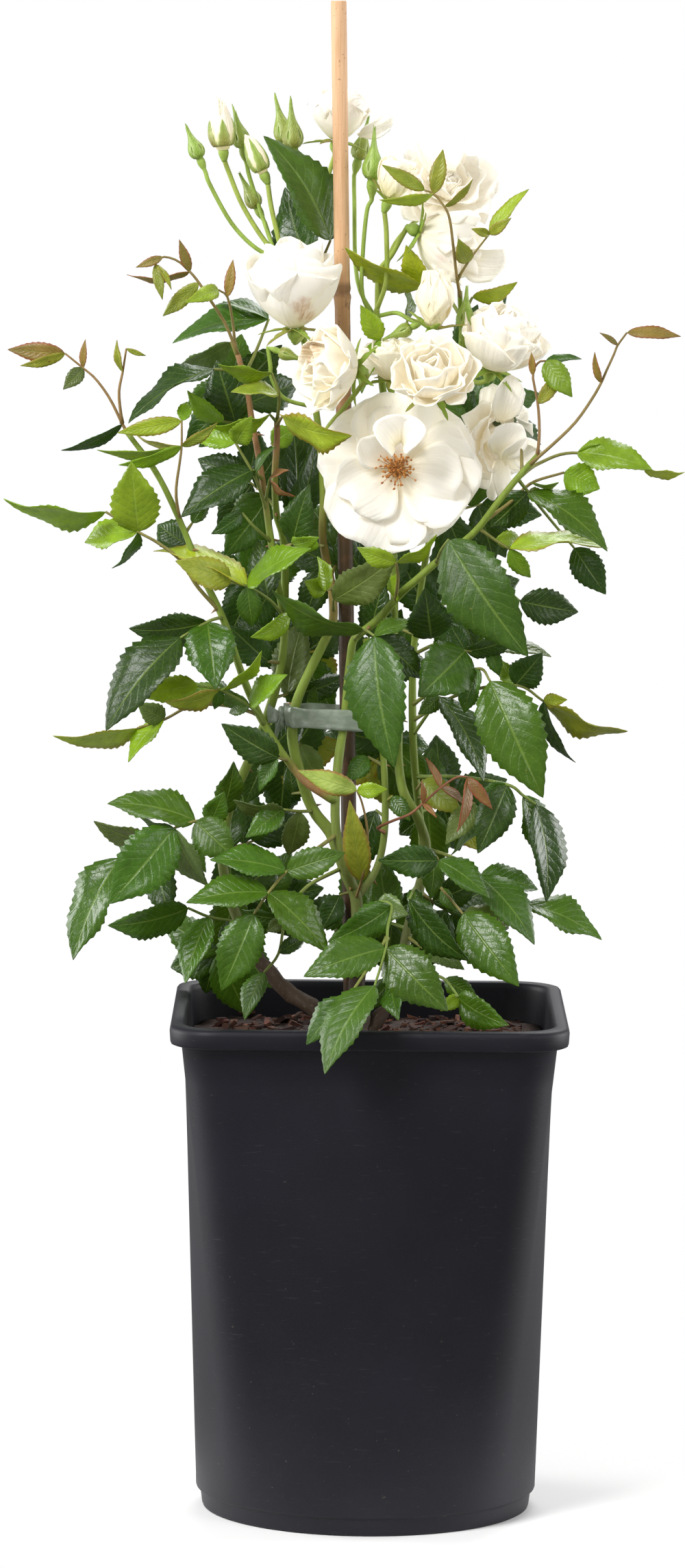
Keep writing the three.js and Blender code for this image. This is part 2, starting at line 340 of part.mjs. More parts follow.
const greenBuds = [
  ["truss_left", [[-51, 700, 12], [-66, 707, 8], [-80, 721, 6], [-92, 742, 4]], [-98, 757, 4], [-107, 778, 4]],
  ["truss_left", [[-56, 706, 16], [-63, 725, 22], [-70, 746, 24]], [-74, 763, 24], [-80, 788, 24]],
  ["truss_left", [[-58, 709, 15], [-61, 720, 22]], [-66, 730, 26], [-77, 751, 26]],
  ["truss_left", [[-45, 686, 12], [-40, 715, 24], [-46, 745, 26]], [-46, 763, 26], [-48, 793, 24]],
  ["truss_left", [[-46, 740, 26], [-49, 753, 30]], [-50, 766, 32], [-57, 794, 34]],
  ["truss_middle", [[0, 668, 11], [-10, 690, 26], [-12, 735, 46]], [-10, 757, 50], [-4, 782, 50]],
  ["truss_middle", [[-1, 666, 11], [-7, 682, 6], [-7, 705, 4], [-5, 728, 2]], [-2, 746, 2], [-1, 777, 0]],
  ["stem_tall_right", [[48, 658, 13], [50, 660, 2]], [50, 664, -4], [51, 690, -6]],
  ["stem_centre", [[-33, 620, 12], [-50, 624, 6], [-57, 635, 2], [-58, 643, 0]], [-53, 650, -2], [-36, 644, -4]],
  ["truss_middle", [[1, 670, 11], [12, 672, 2], [20, 668, -2]], [20, 664, -3], [2, 656, -4]],
];

// Petal layers from the middle out: petals, points across each, length, angle from the axis at the foot
// and at the tip
const kinds = {
  tulip: { sepals: 84, whorls: [[3, 3, 0.86, 14, -10], [4, 3, 1, 34, -14]] },
  bud: { sepals: 40, whorls: [] },
  small: { sepals: 90, whorls: [[3, 3, 0.8, 24, -10], [5, 3, 1, 56, 4]] },
  cup: { sepals: 96, whorls: [[3, 3, 0.98, 30, -28], [4, 3, 0.98, 54, -24], [5, 4, 0.88, 76, -10]] },
  full: { sepals: 104, whorls: [[3, 3, 0.62, 22, 0], [5, 3, 0.84, 52, 30], [5, 4, 1, 80, 64]] },
  open: { sepals: 108, whorls: [[5, 3, 0.58, 52, 46], [5, 4, 0.84, 68, 76], [5, 4, 1, 82, 94]] },
};

const colours = {
  pot: 0x17181b,
  soil: 0x4b2f22,
  bamboo_cane: 0xd9a877,
  plastic_tie: 0x9aa396,
  rose_crown: 0x5a4636,
  stem: 0x5e7f33,
  shoot: 0x8a7a3c,
  red: 0xa05a4a,
  truss: 0x7ea04a,
  bloom: 0xf4efe4,
  bud: 0xefe3c0,
  stamens: 0xc07a3a,
};

// Seeded draws, so that the plant grows the same way each time
function draws(seed) {
  let state = seed >>> 0;
  return () => {
    state = (state + 0x6d2b79f5) >>> 0;
    let t = Math.imul(state ^ (state >>> 15), state | 1);
    t = (t + Math.imul(t ^ (t >>> 7), t | 61)) ^ t;
    return ((t ^ (t >>> 14)) >>> 0) / 4294967296;
  };
}

// Solids
function solidFrom(geometry) {
  const plain = geometry.clone();
  plain.deleteAttribute("normal");
  plain.deleteAttribute("uv");
  const merged = mergeVertices(plain, 1e-4);
  const corners = merged.index.array;
  const kept = [];
  for (let i = 0; i < corners.length; i += 3) {
    const [a, b, c] = [corners[i], corners[i + 1], corners[i + 2]];
    if (a !== b && b !== c && c !== a) {
      kept.push(a, b, c);
    }
  }
  const mesh = new wasm.Mesh({
    numProp: 3,
    vertProperties: merged.attributes.position.array,
    triVerts: new Uint32Array(kept),
  });
  return new wasm.Manifold(mesh);
}

function frameAlong(tangent) {
  const across = Math.abs(tangent.y) > 0.85 ? new THREE.Vector3(0, 0, 1) : new THREE.Vector3(0, 1, 0);
  const up = across.addScaledVector(tangent, -across.dot(tangent)).normalize();
  const side = new THREE.Vector3().crossVectors(tangent, up);
  return { side, up };
}

// A round rod through ring centres, each with its own radius
function skin(rings, radii, sides) {
  const steps = rings.length - 1;
  const geometry = new THREE.CylinderGeometry(1, 1, 1, sides, steps);
  const places = geometry.attributes.position;
  const frames = rings.map((_, k) => {
    const before = rings[Math.max(k - 1, 0)];
    const after = rings[Math.min(k + 1, steps)];
    return frameAlong(after.clone().sub(before).normalize());
  });
  for (let i = 0; i < places.count; i += 1) {
    const k = Math.round((places.getY(i) + 0.5) * steps);
    const place = rings[k].clone();
    place.addScaledVector(frames[k].side, places.getX(i) * radii[k]);
    place.addScaledVector(frames[k].up, places.getZ(i) * radii[k]);
    places.setXYZ(i, place.x, place.y, place.z);
  }
  return solidFrom(geometry);
}

function curveThrough(points, steps) {
  return new THREE.CatmullRomCurve3(points, false, "catmullrom", 0.5).getPoints(steps);
}

// A tapered rod along a curve; grow makes it fatter and longer all round
function rod(points, first, last, sides, steps, grow = 0) {
  const rings = curveThrough(points, steps);
  const radii = rings.map((_, k) => first + ((last - first) * k) / steps + grow);
  const atFoot = rings[0].clone().sub(rings[1]).normalize();
  const atTop = rings[steps].clone().sub(rings[steps - 1]).normalize();
  rings[0].addScaledVector(atFoot, grow);
  rings[steps].addScaledVector(atTop, grow);
  return skin(rings, radii, sides);
}

// A thin sheet given its thickness: both faces are split alike, and its open edges get a wall
function thicken(sheet, thickness) {
  const plain = sheet.clone();
  plain.deleteAttribute("normal");
  plain.deleteAttribute("uv");
  const merged = mergeVertices(plain, 1e-4);
  const corners = merged.index.array;
  const kept = [];
  const edges = new Set();
  for (let i = 0; i < corners.length; i += 3) {
    const [a, b, c] = [corners[i], corners[i + 1], corners[i + 2]];
    if (a !== b && b !== c && c !== a) {
      kept.push(a, b, c);
      edges.add(`${a} ${b}`).add(`${b} ${c}`).add(`${c} ${a}`);
    }
  }
  merged.setIndex(kept);
  merged.computeVertexNormals();
  const places = merged.attributes.position;
  const fronts = merged.attributes.normal;
  const count = places.count;
  const both = new Float32Array(count * 6);
  for (let i = 0; i < count; i += 1) {
    const point = new THREE.Vector3().fromBufferAttribute(places, i);
    const front = new THREE.Vector3().fromBufferAttribute(fronts, i);
    point.clone().addScaledVector(front, thickness / 2).toArray(both, i * 3);
    point.clone().addScaledVector(front, -thickness / 2).toArray(both, (count + i) * 3);
  }
  const faces = [...kept];
  for (let i = 0; i < kept.length; i += 3) {
    faces.push(count + kept[i], count + kept[i + 2], count + kept[i + 1]);
  }
  edges.forEach((edge) => {
    const [a, b] = edge.split(" ").map(Number);
    if (!edges.has(`${b} ${a}`)) {
      faces.push(b, a, count + a, b, count + a, count + b);
    }
  });
  const closed = new THREE.BufferGeometry();
  closed.setAttribute("position", new THREE.BufferAttribute(both, 3));
  closed.setIndex(faces);
  return solidFrom(closed);
}

// A flat grid moved into place: place(u, v) with u across from -1 to 1 and v from the foot to the tip
function grid(columns, rows, place) {
  const sheet = new THREE.PlaneGeometry(2, 1, columns, rows);
  const places = sheet.attributes.position;
  for (let i = 0; i < places.count; i += 1) {
    const point = place(places.getX(i), places.getY(i) + 0.5);
    places.setXYZ(i, point.x, point.y, point.z);
  }
  return sheet;
}

// A turned shape on an axis: profile as [radius, distance along the axis]
function turned(profile, sides, base, axis) {
  const geometry = new THREE.LatheGeometry(profile.map(([r, h]) => new THREE.Vector2(r, h)), sides);
  const spin = new THREE.Quaternion().setFromUnitVectors(new THREE.Vector3(0, 1, 0), axis);
  geometry.applyQuaternion(spin);
  geometry.translate(base.x, base.y, base.z);
  return solidFrom(geometry);
}

// Pot: a rounded square at the rim that turns into a circle at the step
function outline(angle, square) {
  const corner = pot.cornerAngle;
  const folded = Math.abs((((((angle * 180) / Math.PI) % 90) + 90) % 90) - 45);
  const inset = Math.tan((corner * Math.PI) / 180);
  const radius = 1 - inset;
  const away = ((45 - folded) * Math.PI) / 180;
  let reach = 1 / Math.cos(away);
  if (45 - folded > corner) {
    const middle = inset * Math.SQRT2;
    const off = (folded * Math.PI) / 180;
    reach = middle * Math.cos(off) + Math.sqrt(radius * radius - (middle * Math.sin(off)) ** 2);
  }
  return 1 + (reach - 1) * square;
}

// Corners get more of the ring's points than the flats
function ringAngle(k) {
  const even = (k / pot.sections) * 2 * Math.PI;
  return even + 0.14 * Math.sin(4 * even);
}

// Rings of [half width, height, squareness] joined into a closed solid; relief lifts some rings, and
// one row of faces can be split the other way, to run evenly along the row it backs
function loft(rings, relief, otherWay = -1) {
  const profile = rings.map(([half, height]) => new THREE.Vector2(half, height));
  const geometry = new THREE.LatheGeometry(profile, pot.sections);
  const places = geometry.attributes.position;
  for (let i = 0; i < places.count; i += 1) {
    const [half, height, square] = rings[i % rings.length];
    const angle = ringAngle(Math.floor(i / rings.length));
    const reach = half * outline(angle, square);
    const x = reach * Math.cos(angle);
    const y = reach * Math.sin(angle);
    places.setXYZ(i, x, y, height + relief(x, y, i % rings.length));
  }
  for (let k = 0; otherWay >= 0 && k < pot.sections; k += 1) {
    const at = (k * (rings.length - 1) + otherWay) * 6;
    const [a, b, d, c] = geometry.index.array.slice(at, at + 4);
    geometry.index.array.set([a, b, c, a, c, d], at);
  }
  return solidFrom(geometry);
}

function wallAt(height, inset) {
  const share = (height - pot.stepHeight) / (pot.height - pot.rimBand - pot.stepHeight);
  return [pot.wallRadius + (pot.wallHalf - pot.wallRadius) * share - inset, height, share];
}

function buildPot() {
  const under = pot.height - pot.rimBand;
  const inner = pot.rimHalf - pot.wallHalf + pot.wall;
  const rings = [
    [0, 0, 0],
    [pot.footBottomRadius, 0, 0],
    [pot.footRadius, pot.stepHeight - pot.stepRise, 0],
    wallAt(pot.stepHeight, 0),
    wallAt(under, 0),
    [pot.rimHalf - 0.6, under, 1],
    [pot.rimHalf, pot.height - 2, 1],
    [pot.rimHalf - 2.5, pot.height, 1],
    [pot.rimHalf - inner + 1.6, pot.height, 1],
    [pot.rimHalf - inner, pot.height - 1.6, 1],
    wallAt(under, pot.wall),
    wallAt(pot.stepHeight, pot.wall),
    [pot.footRadius - pot.wall, pot.floor, 0],
    [0, pot.floor, 0],
  ];
  const innerWallRow = 10;
  let solid = loft(rings, () => 0, innerWallRow);
  for (let k = 0; k < 4; k += 1) {
    const hole = new THREE.CylinderGeometry(pot.drainRadius, pot.drainRadius, pot.floor * 3, 8);
    const angle = ((k + 0.5) * Math.PI) / 2;
    hole.rotateX(Math.PI / 2);
    hole.translate(pot.drainAway * Math.cos(angle), pot.drainAway * Math.sin(angle), pot.floor / 2);
    solid = solid.subtract(solidFrom(hole));
  }
  return solid;
}

function caneSolid(grow) {
  const foot = seen(cane.foot);
  const top = seen(cane.top);
  const radius = cane.radius + grow;
  const reach = top.clone().sub(foot);
  const axis = reach.clone().normalize();
  const long = reach.length();
  const knot = (long * (cane.knot - cane.foot[1])) / (cane.top[1] - cane.foot[1]);
  const profile = [[0, -grow], [radius * 0.94, -grow], [radius * 0.98, knot - 8], [radius * 1.12, knot - 2.5],
    [radius * 0.96, knot], [radius * 1.08, knot + 2.5], [radius * 0.99, knot + 7], [radius * 0.98, long + grow],
    [0, long + grow]];
  return turned(profile, 10, foot, axis);
}

function buildSoil(cuts) {
  const gap = pot.wall + soil.gap;
  const relief = (x, y, ring) => (ring < 4 ? 0 : soil.rise * Math.sin(x / 13 + 1) * Math.cos(y / 17));
  const rings = [
    [0, pot.floor + soil.gap, 0],
    [pot.footRadius - gap - 0.6, pot.floor + soil.gap, 0],
    wallAt(pot.stepHeight + 1, gap + 0.6),
    wallAt(soil.level - 4, gap + 0.6),
    [68, soil.level, 0.7],
    [32, soil.level + 0.5, 0.3],
    [0, soil.level + 1, 0],
  ];
  const next = draws(11);
  const pieces = [loft(rings, relief)];
  for (let k = 0; k < soil.chips; k += 1) {
    const angle = 2.4 * k + next();
    const away = 30 + 58 * Math.sqrt((k + 0.5) / soil.chips);
    const chip = new THREE.BoxGeometry(6 + 9 * next(), 4 + 4 * next(), 3.2);
    chip.rotateX(0.5 * (next() - 0.5));
    chip.rotateY(0.9 * (next() - 0.5));
    chip.rotateZ(6.3 * next());
    const reach = Math.min(away, 86);
    chip.translate(reach * Math.cos(angle), reach * Math.sin(angle), soil.level + 0.6);
    pieces.push(solidFrom(chip));
  }
  let solid = wasm.Manifold.union(pieces);
  cuts.forEach((cut) => {
    solid = solid.subtract(cut);
  });
  return solid;
}

// The tie: a ribbon round the stems, with a knot and two tails at its left
function buildTie() {
  const wide = (tie.right - tie.left) / 2;
  const deep = (tie.back - tie.front) / 2;
  const circle = new THREE.EllipseCurve(0, 0, 1, 1).getPoints(16).slice(0, -1);
  const oval = (grow) => circle.map(({ x, y }) => new THREE.Vector2(
    Math.sign(x) * (wide + grow) * Math.abs(x) ** tie.squareness,
    Math.sign(y) * (deep + grow) * Math.abs(y) ** tie.squareness,
  ));
  const shape = new THREE.Shape(oval(tie.thickness));
  shape.holes.push(new THREE.Path(oval(0)));
  const ribbon = new THREE.ExtrudeGeometry(shape, { depth: tie.height, bevelEnabled: false });
  ribbon.rotateY(tie.slope);
  ribbon.translate((tie.left + tie.right) / 2, (tie.front + tie.back) / 2, tie.level - tie.height / 2);
  const knot = new THREE.SphereGeometry(2.6, 5, 4);
  knot.scale(1, 1, 2.2);
  knot.translate(tie.left - 1.6, -5, tie.level);
  const tail = (reach, rise) => thicken(grid(1, 1, (u, v) => (
    new THREE.Vector3(tie.left - 1 - reach * v, -6 - 5 * v, tie.level + rise * v + u * (3 + 2.4 * v))
  )), tie.thickness);
  return wasm.Manifold.union([solidFrom(ribbon), solidFrom(knot), tail(8, 3), tail(4, -9)]);
}

// Leaflets: an oval blade with a pointed tip, folded along its rib, arched, with toothed edges
function leafletForm(base, tip, seenWidth, young, lean) {
  const axis = tip.clone().sub(base);
  const length = axis.length();
  axis.normalize();
  const share = young ? plant.youngWidth : plant.trueWidth;
  const width = Math.max(Math.abs(seenWidth), share * length);
  const turn = lean * Math.acos(Math.min(1, Math.abs(seenWidth) / width));
  const view = new THREE.Vector3(0, -1, 0);
  const facing = view.addScaledVector(axis, -view.dot(axis)).normalize();
  const side = new THREE.Vector3().crossVectors(axis, facing);
  const front = facing.multiplyScalar(Math.cos(turn)).addScaledVector(side, Math.sin(turn));
  const across = new THREE.Vector3().crossVectors(axis, front);
  const interior = length > 56 ? 3 : length > 38 ? 2 : 1;
  return { base, axis, front, across, length, width, rows: interior + 1 };
}

function leafletPlace(form, u, v) {
  const round = Math.sin(Math.PI * v ** 0.78) ** 0.85 || 0;
  const half = (form.width / 2) * round;
  const rise = plant.arch * form.length * 4 * v * (1 - v) + plant.fold * Math.abs(u) * half;
  const point = form.base.clone().addScaledVector(form.axis, v * form.length);
  point.addScaledVector(form.across, u * half);
  point.addScaledVector(form.front, rise);
  return point;
}

// A leaflet alone, for testing where it fits, begun a little out from its stalk
function testLeaflet(form, out) {
  const apart = { ...form, base: form.base.clone().addScaledVector(form.axis, out), length: form.length - out };
  return thicken(grid(2, form.rows, (u, v) => leafletPlace(apart, u, v)), plant.thickness);
}

// A whole leaf as one sheet: a narrow stalk strip whose edges open into the leaflets
function leafSolid(points, grown, half) {
  const last = points.length - 1;
  const stations = [];
  const openings = [];
  points.forEach((point, k) => {
    const along = points[Math.min(k + 1, last)].clone().sub(points[Math.max(k - 1, 0)]).normalize();
    const view = Math.abs(along.y) > 0.95 ? new THREE.Vector3(0, 0, 1) : new THREE.Vector3(0, -1, 0);
    const front = view.addScaledVector(along, -view.dot(along)).normalize();
    const side = new THREE.Vector3().crossVectors(along, front);
    const here = grown.filter(({ at }) => at === k);
    here.sort((a, b) => b.form.axis.dot(along) - a.form.axis.dot(along));
    const end = k === last ? here.shift() : undefined;
    const rights = here.filter(({ form }) => form.axis.dot(side) >= 0);
    const lefts = here.filter(({ form }) => form.axis.dot(side) < 0);
    const steps = Math.max(lefts.length, rights.length);
    for (let j = 0; j <= steps; j += 1) {
      const shift = (j - (k === last ? steps : steps / 2)) * plant.sideStep;
      const centre = point.clone().addScaledVector(along, shift);
      const left = centre.clone().addScaledVector(side, -half);
      const right = centre.clone().addScaledVector(side, half);
      stations.push({ left, right });
    }
    const first = stations.length - 1 - steps;
    lefts.forEach(({ form }, j) => {
      openings.push({ form, from: stations[first + j].left, to: stations[first + j + 1].left });
    });
    rights.forEach(({ form }, j) => {
      openings.push({ form, from: stations[first + j + 1].right, to: stations[first + j].right });
    });
    if (end) {
      const { left, right } = stations[stations.length - 1];
      openings.push({ form: end.form, from: left, to: right });
    }
  });
  const segments = stations.length - 1;
  const strip = grid(1, segments, (u, v) => {
    const station = stations[Math.round(v * segments)];
    return u < 0 ? station.left : station.right;
  });
  const sheets = openings.map(({ form, from, to }) => grid(2, form.rows, (u, v) => {
    if (v > 0) {
      return leafletPlace(form, u, v);
    }
    return u > 0 ? to : from;
  }));
  const parts = [strip, ...sheets].map((sheet) => sheet.toNonIndexed());
  return thicken(mergeGeometries(parts), plant.thickness);
}

// A place on a curled petal: it leaves the axis at one angle and curls to another along its length
function curl({ start, length, foot, tip }, share) {
  const turnBy = tip - foot;
  const angle = foot + turnBy * share;
  const out = start + (length * (Math.cos(foot) - Math.cos(angle))) / turnBy;
  const up = (length * (Math.sin(angle) - Math.sin(foot))) / turnBy;
  return { out, up };
}

// One layer of petals or sepals: a round sheet cut into lobes and bent up round the axis
function whorl(frame, form) {
  const { count, across, notch, turn, rise } = form;
  const sheet = new THREE.RingGeometry(0, 1, count * across, 2);
  const places = sheet.attributes.position;
  for (let i = 0; i < places.count; i += 1) {
    const v = Math.hypot(places.getX(i), places.getY(i));
    const angle = Math.atan2(places.getY(i), places.getX(i));
    const phase = ((angle / (2 * Math.PI)) * count + 2 * count) % 1;
    const lobe = Math.sin(Math.PI * phase) ** 0.7;
    const crest = Math.sin(Math.PI / across) ** 0.7;
    const shape = v > 0.75 ? notch + ((1 - notch) * lobe) / crest : form.middle;
    const share = across > 3 ? Math.min(shape, 1 + 0.04 * lobe) : shape;
    const { out, up } = v < 0.1 ? { out: 0, up: 0 } : curl(form, share);
    const { radial } = ringDirections(frame, angle + turn);
    const point = frame.base.clone().addScaledVector(radial, out).addScaledVector(frame.axis, up + rise);
    places.setXYZ(i, point.x, point.y, point.z);
  }
  return sheet;
}

function bloomFrame(bloom) {
  const base = seen(bloom.base);
  const axis = seen(bloom.top).sub(base).normalize();
  const { side } = frameAlong(axis);
  const up = new THREE.Vector3().crossVectors(axis, side);
  return { base, axis, side, up };
}

function ringDirections(frame, angle) {
  const radial = frame.side.clone().multiplyScalar(Math.cos(angle)).addScaledVector(frame.up, Math.sin(angle));
  const tangent = new THREE.Vector3().crossVectors(frame.axis, radial);
  return { radial, tangent };
}

// How far the hip stops short of a bloom's base, and how far above the base a closed bud sits
const hipTop = 0.5;
const budSeat = 2.4;

function buildBloom(bloom) {
  const frame = bloomFrame(bloom);
  const kind = kinds[bloom.kind];
  const seat = plant.gap + plant.thickness / 2 - hipTop;
  if (bloom.kind === "bud") {
    const long = bloom.length - budSeat;
    const wide = bloom.length * 0.15;
    const lift = frame.base.clone().addScaledVector(frame.axis, budSeat);
    return turned([[0, 0], [wide * 0.6, 0], [wide, long * 0.36], [wide * 0.7, long * 0.72], [0, long]],
      5, lift, frame.axis);
  }
  const pieces = kind.whorls.map(([count, across, reach, foot, tip], ring) => {
    const outer = kind.whorls.length - 1 - ring;
    return thicken(whorl(frame, {
      count,
      across,
      notch: 0.62,
      middle: 0.4,
      turn: ((bloom.turn + 31 * ring) * Math.PI) / 180,
      rise: seat + 0.45 * outer,
      start: 4 - 0.9 * outer,
      length: bloom.length * reach,
      foot: ((foot + (bloom.spread ?? 0)) * Math.PI) / 180,
      tip: ((tip + (bloom.spread ?? 0) + 0.5) * Math.PI) / 180,
    }), plant.thickness);
  });
  return wasm.Manifold.union(pieces);
}

// The green hip under a bloom, whose rim is drawn out into five sepals
function calyx(bloom) {
  const frame = bloomFrame(bloom);
  const hip = bloom.length < 28 ? 2.8 : 3.8;
  const foot = frame.base.clone().addScaledVector(frame.axis, -8);
  const hug = bloom.kind === "bud";
  const reach = hug ? 9.5 : 12 + bloom.length * 0.14;
  const rise = hug ? 10 : -reach * Math.sin(((kinds[bloom.kind].sepals - 90) * Math.PI) / 180);
  const profile = [[0, 0], [1.6, 0], [hip, 5], [hip, 7.2], [0, 7.5]];
  const geometry = new THREE.LatheGeometry(profile.map(([r, h]) => new THREE.Vector2(r, h)), 10);
  const places = geometry.attributes.position;
  const turn = ((bloom.turn + 36) * Math.PI) / 180;
  for (let i = 0; i < places.count; i += 1) {
    const row = i % profile.length;
    const spoke = Math.floor(i / profile.length);
    const tip = spoke % 2 === 0 && row === 3;
    const out = profile[row][0] + (tip ? reach - hip : 0);
    const up = profile[row][1] + (tip ? rise : 0);
    const { radial } = ringDirections(frame, (spoke / 10) * 2 * Math.PI + turn);
    const place = foot.clone().addScaledVector(radial, out).addScaledVector(frame.axis, up);
    places.setXYZ(i, place.x, place.y, place.z);
  }
  return solidFrom(geometry);
}

// A flower stalk that swells into a closed green bud
const budSwell = [[-0.12, 2.6], [0, 2.3], [0.2, 5], [0.4, 4.2], [0.66, 1.5], [1, 0.3]];

function greenBud(stalk, base, tip) {
  const axis = tip.clone().sub(base);
  const size = axis.length() / 26;
  const foot = base.clone().addScaledVector(axis, -0.24);
  const rings = curveThrough([...stalk, foot], stalk.length);
  const radii = rings.map(() => 1.2);
  budSwell.forEach(([share, radius]) => {
    rings.push(base.clone().addScaledVector(axis, share));
    radii.push(radius * size);
  });
  return skin(rings, radii, 4);
}

const stamen = { rest: 5.3, count: 12, spread: 4, turn: 2.4, length: 9 };

function buildStamens(bloom) {
  const frame = bloomFrame(bloom);
  const next = draws(71);
  const seat = frame.base.clone().addScaledVector(frame.axis, stamen.rest);
  const pieces = [turned([[0, 0], [4.6, 0], [4.2, 1.6], [0, 2.6]], 6, seat, frame.axis)];
  for (let k = 0; k < stamen.count; k += 1) {
    const share = Math.sqrt((k + 0.5) / stamen.count);
    const { radial } = ringDirections(frame, k * stamen.turn);
    const lean = 0.15 + 0.75 * share;
    const start = seat.clone().addScaledVector(radial, stamen.spread * share).addScaledVector(frame.axis, 0.4);
    const end = start.clone().addScaledVector(frame.axis, (8 + 3 * next()) * Math.cos(lean));
    end.addScaledVector(radial, stamen.length * Math.sin(lean));
    pieces.push(rod([start, end], 0.35, 0.8, 3, 1));
  }
  return wasm.Manifold.union(pieces);
}

// Parts of the plant are gathered by node, and each new piece is tested against what is placed.
// Nothing of a node may enter the stem that the node grows from, fattened by the gap
const parentOf = new Map([...stems, ...shoots].filter(([, parent]) => parent));
const fattened = new Map();
const bodies = new Map();
const spines = new Map();

function add(node, whole) {
  const parent = parentOf.get(node);
  const solid = parent ? whole.subtract(fattened.get(parent)) : whole;
  if (!bodies.has(node)) {
    bodies.set(node, []);
  }
  bodies.get(node).push({ solid, box: solid.boundingBox() });
}

function meets(solid, nodes, gap) {
  const box = solid.boundingBox();
  const near = (other) => [0, 1, 2].every((k) => (
    box.min[k] < other.max[k] + gap && other.min[k] < box.max[k] + gap
  ));
  return nodes.some((node) => (bodies.get(node) ?? []).some((piece) => (
    near(piece.box) && solid.minGap(piece.solid, gap + 0.01) < gap
  )));
}

// Middle lines of the rods of each node, and the place on them that is nearest to a point
function remember(node, points) {
  const places = spines.get(node) ?? [];
  spines.set(node, places.concat(curveThrough(points, points.length * 8)));
}

function snapped(point, node) {
  const places = spines.get(node) ?? [];
  return places.reduce((best, place) => (
    place.distanceTo(point) < best.distanceTo(point) ? place : best
  ), places[0] ?? point).clone();
}

// A leaf: each leaflet takes the first bend that clears the other nodes, and its own if it can
const bends = [0, -7, 7, -14, 14, -21, 21, -28, 28];
const depthLimit = 26;
const ownGap = 0.2;

function clearOfStalk(form) {
  return testLeaflet(form, Math.min(5, form.length / 3));
}

function addLeaf(node, parent, stalk, leaflets, order, young) {
  const rootDepth = stalk[0][2];
  const outward = ([across, up, depth]) => {
    const away = Math.max(-depthLimit, Math.min(depthLimit, depth - rootDepth));
    return seen([across, up, depth + plant.outward * away]);
  };
  const points = stalk.map(outward);
  points[0] = snapped(points[0], spines.has(node) ? node : parent);
  const half = young ? plant.youngStalkHalf : plant.stalkHalf;
  const others = [...bodies.keys()].filter((name) => name !== node);
  const grown = [];
  leaflets.forEach(([at, across, up, depth, width], k) => {
    const reach = points[at].distanceTo(outward([across, up, depth]));
    if (!young && width < plant.smallWidth && reach < plant.smallLength) {
      return;
    }
    const lean = (order + k) % 2 ? 1 : -1;
    const tries = bends.flatMap((bend) => [[bend, lean], [bend, -lean]]);
    const forms = tries.map(([bend, side]) => (
      leafletForm(points[at], outward([across, up, depth + bend]), width, young, side)
    ));
    const clear = forms.filter((form) => !meets(testLeaflet(form, plant.baseSkip), others, plant.gap));
    const alone = clear.find((form) => {
      const test = clearOfStalk(form);
      return !meets(test, [node], ownGap) && grown.every(({ body }) => test.minGap(body, plant.gap) > ownGap);
    });
    const siblings = () => clear.find((form) => {
      const test = clearOfStalk(form);
      return grown.every(({ body }) => test.minGap(body, plant.gap) > ownGap / 2);
    });
    const form = alone ?? siblings();
    if (form) {
      grown.push({ at, form, body: clearOfStalk(form) });
    }
  });
  if (grown.length) {
    add(node, leafSolid(points, grown, half));
    remember(node, points);
  }
}

// Assembly
function stemRod([node, parent, first, last, readings], grow) {
  const points = readings.map(seen);
  if (parent || spines.has(node)) {
    points[0] = snapped(points[0], parent || node);
  }
  return { points, solid: rod(points, first, last, first > 2.75 ? 5 : 4, points.length - 1, grow) };
}

stems.forEach((stem) => {
  const [node, parent] = stem;
  const { points, solid } = stemRod(stem, 0);
  const { solid: fat } = stemRod(stem, plant.rootGap);
  add(node, solid);
  fattened.set(node, fattened.has(node) ? fattened.get(node).add(fat) : fat);
  remember(node, points);
});

blooms.forEach((bloom) => {
  const { base, axis } = bloomFrame(bloom);
  const points = [...bloom.stalk.map(seen), base.clone().addScaledVector(axis, -7)];
  points[0] = snapped(points[0], bloom.node);
  add(bloom.node, rod(points, 1.5, 1.5, 4, points.length - 1));
  remember(bloom.node, points);
  add(bloom.node, calyx(bloom));
  add(bloom.name, buildBloom(bloom));
});
greenBuds.forEach(([node, stalk, base, tip]) => {
  const points = stalk.map(seen);
  points[0] = snapped(points[0], node);
  add(node, greenBud(points, seen(base), seen(tip)));
  remember(node, [...points, seen(base)]);
});
add("stamens", buildStamens(blooms.find((bloom) => bloom.kind === "open")));
add("bamboo_cane", caneSolid(0));
add("plastic_tie", buildTie());
add("pot", buildPot());

shoots.forEach(([node, parent, stalk, leaflets], order) => {
  addLeaf(node, parent, stalk, leaflets, order, true);
});
leaves.forEach(([node, stalk, leaflets], order) => {
  addLeaf(node, "", stalk, leaflets, order, false);
});

add("soil", buildSoil([fattened.get("rose_crown"), caneSolid(soil.gap)]));

// Each node's pieces are joined into one body
const group = new THREE.Group();
for (const [node, pieces] of bodies) {
  const joined = wasm.Manifold.union(pieces.map(({ solid }) => solid));
  const parts = joined.decompose().sort((a, b) => b.volume() - a.volume());
  const mesh = parts[0].getMesh();
  const geometry = new THREE.BufferGeometry();
  geometry.setAttribute("position", new THREE.BufferAttribute(mesh.vertProperties, 3));
  geometry.setIndex(new THREE.BufferAttribute(mesh.triVerts, 1));
  geometry.computeVertexNormals();
  const [family] = node.split("_");
  const colour = colours[node] ?? (node.endsWith("red") ? colours.red : colours[family]);
  const material = new THREE.MeshStandardMaterial({
    color: colour,
    roughness: node === "plastic_tie" ? 0.25 : 0.6,
    metalness: 0,
  });
  const part = new THREE.Mesh(geometry, material);
  part.name = node;
  group.add(part);
}

export default group;
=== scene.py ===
# Potted climbing rose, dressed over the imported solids: pot, compost, cane, tie, stems, leaves, blooms.
# The tables are in millimetres and are the same readings as the solids; the meshes are in metres.
import math
import random

import bmesh
import bpy
from mathutils import Matrix, Vector, kdtree, noise


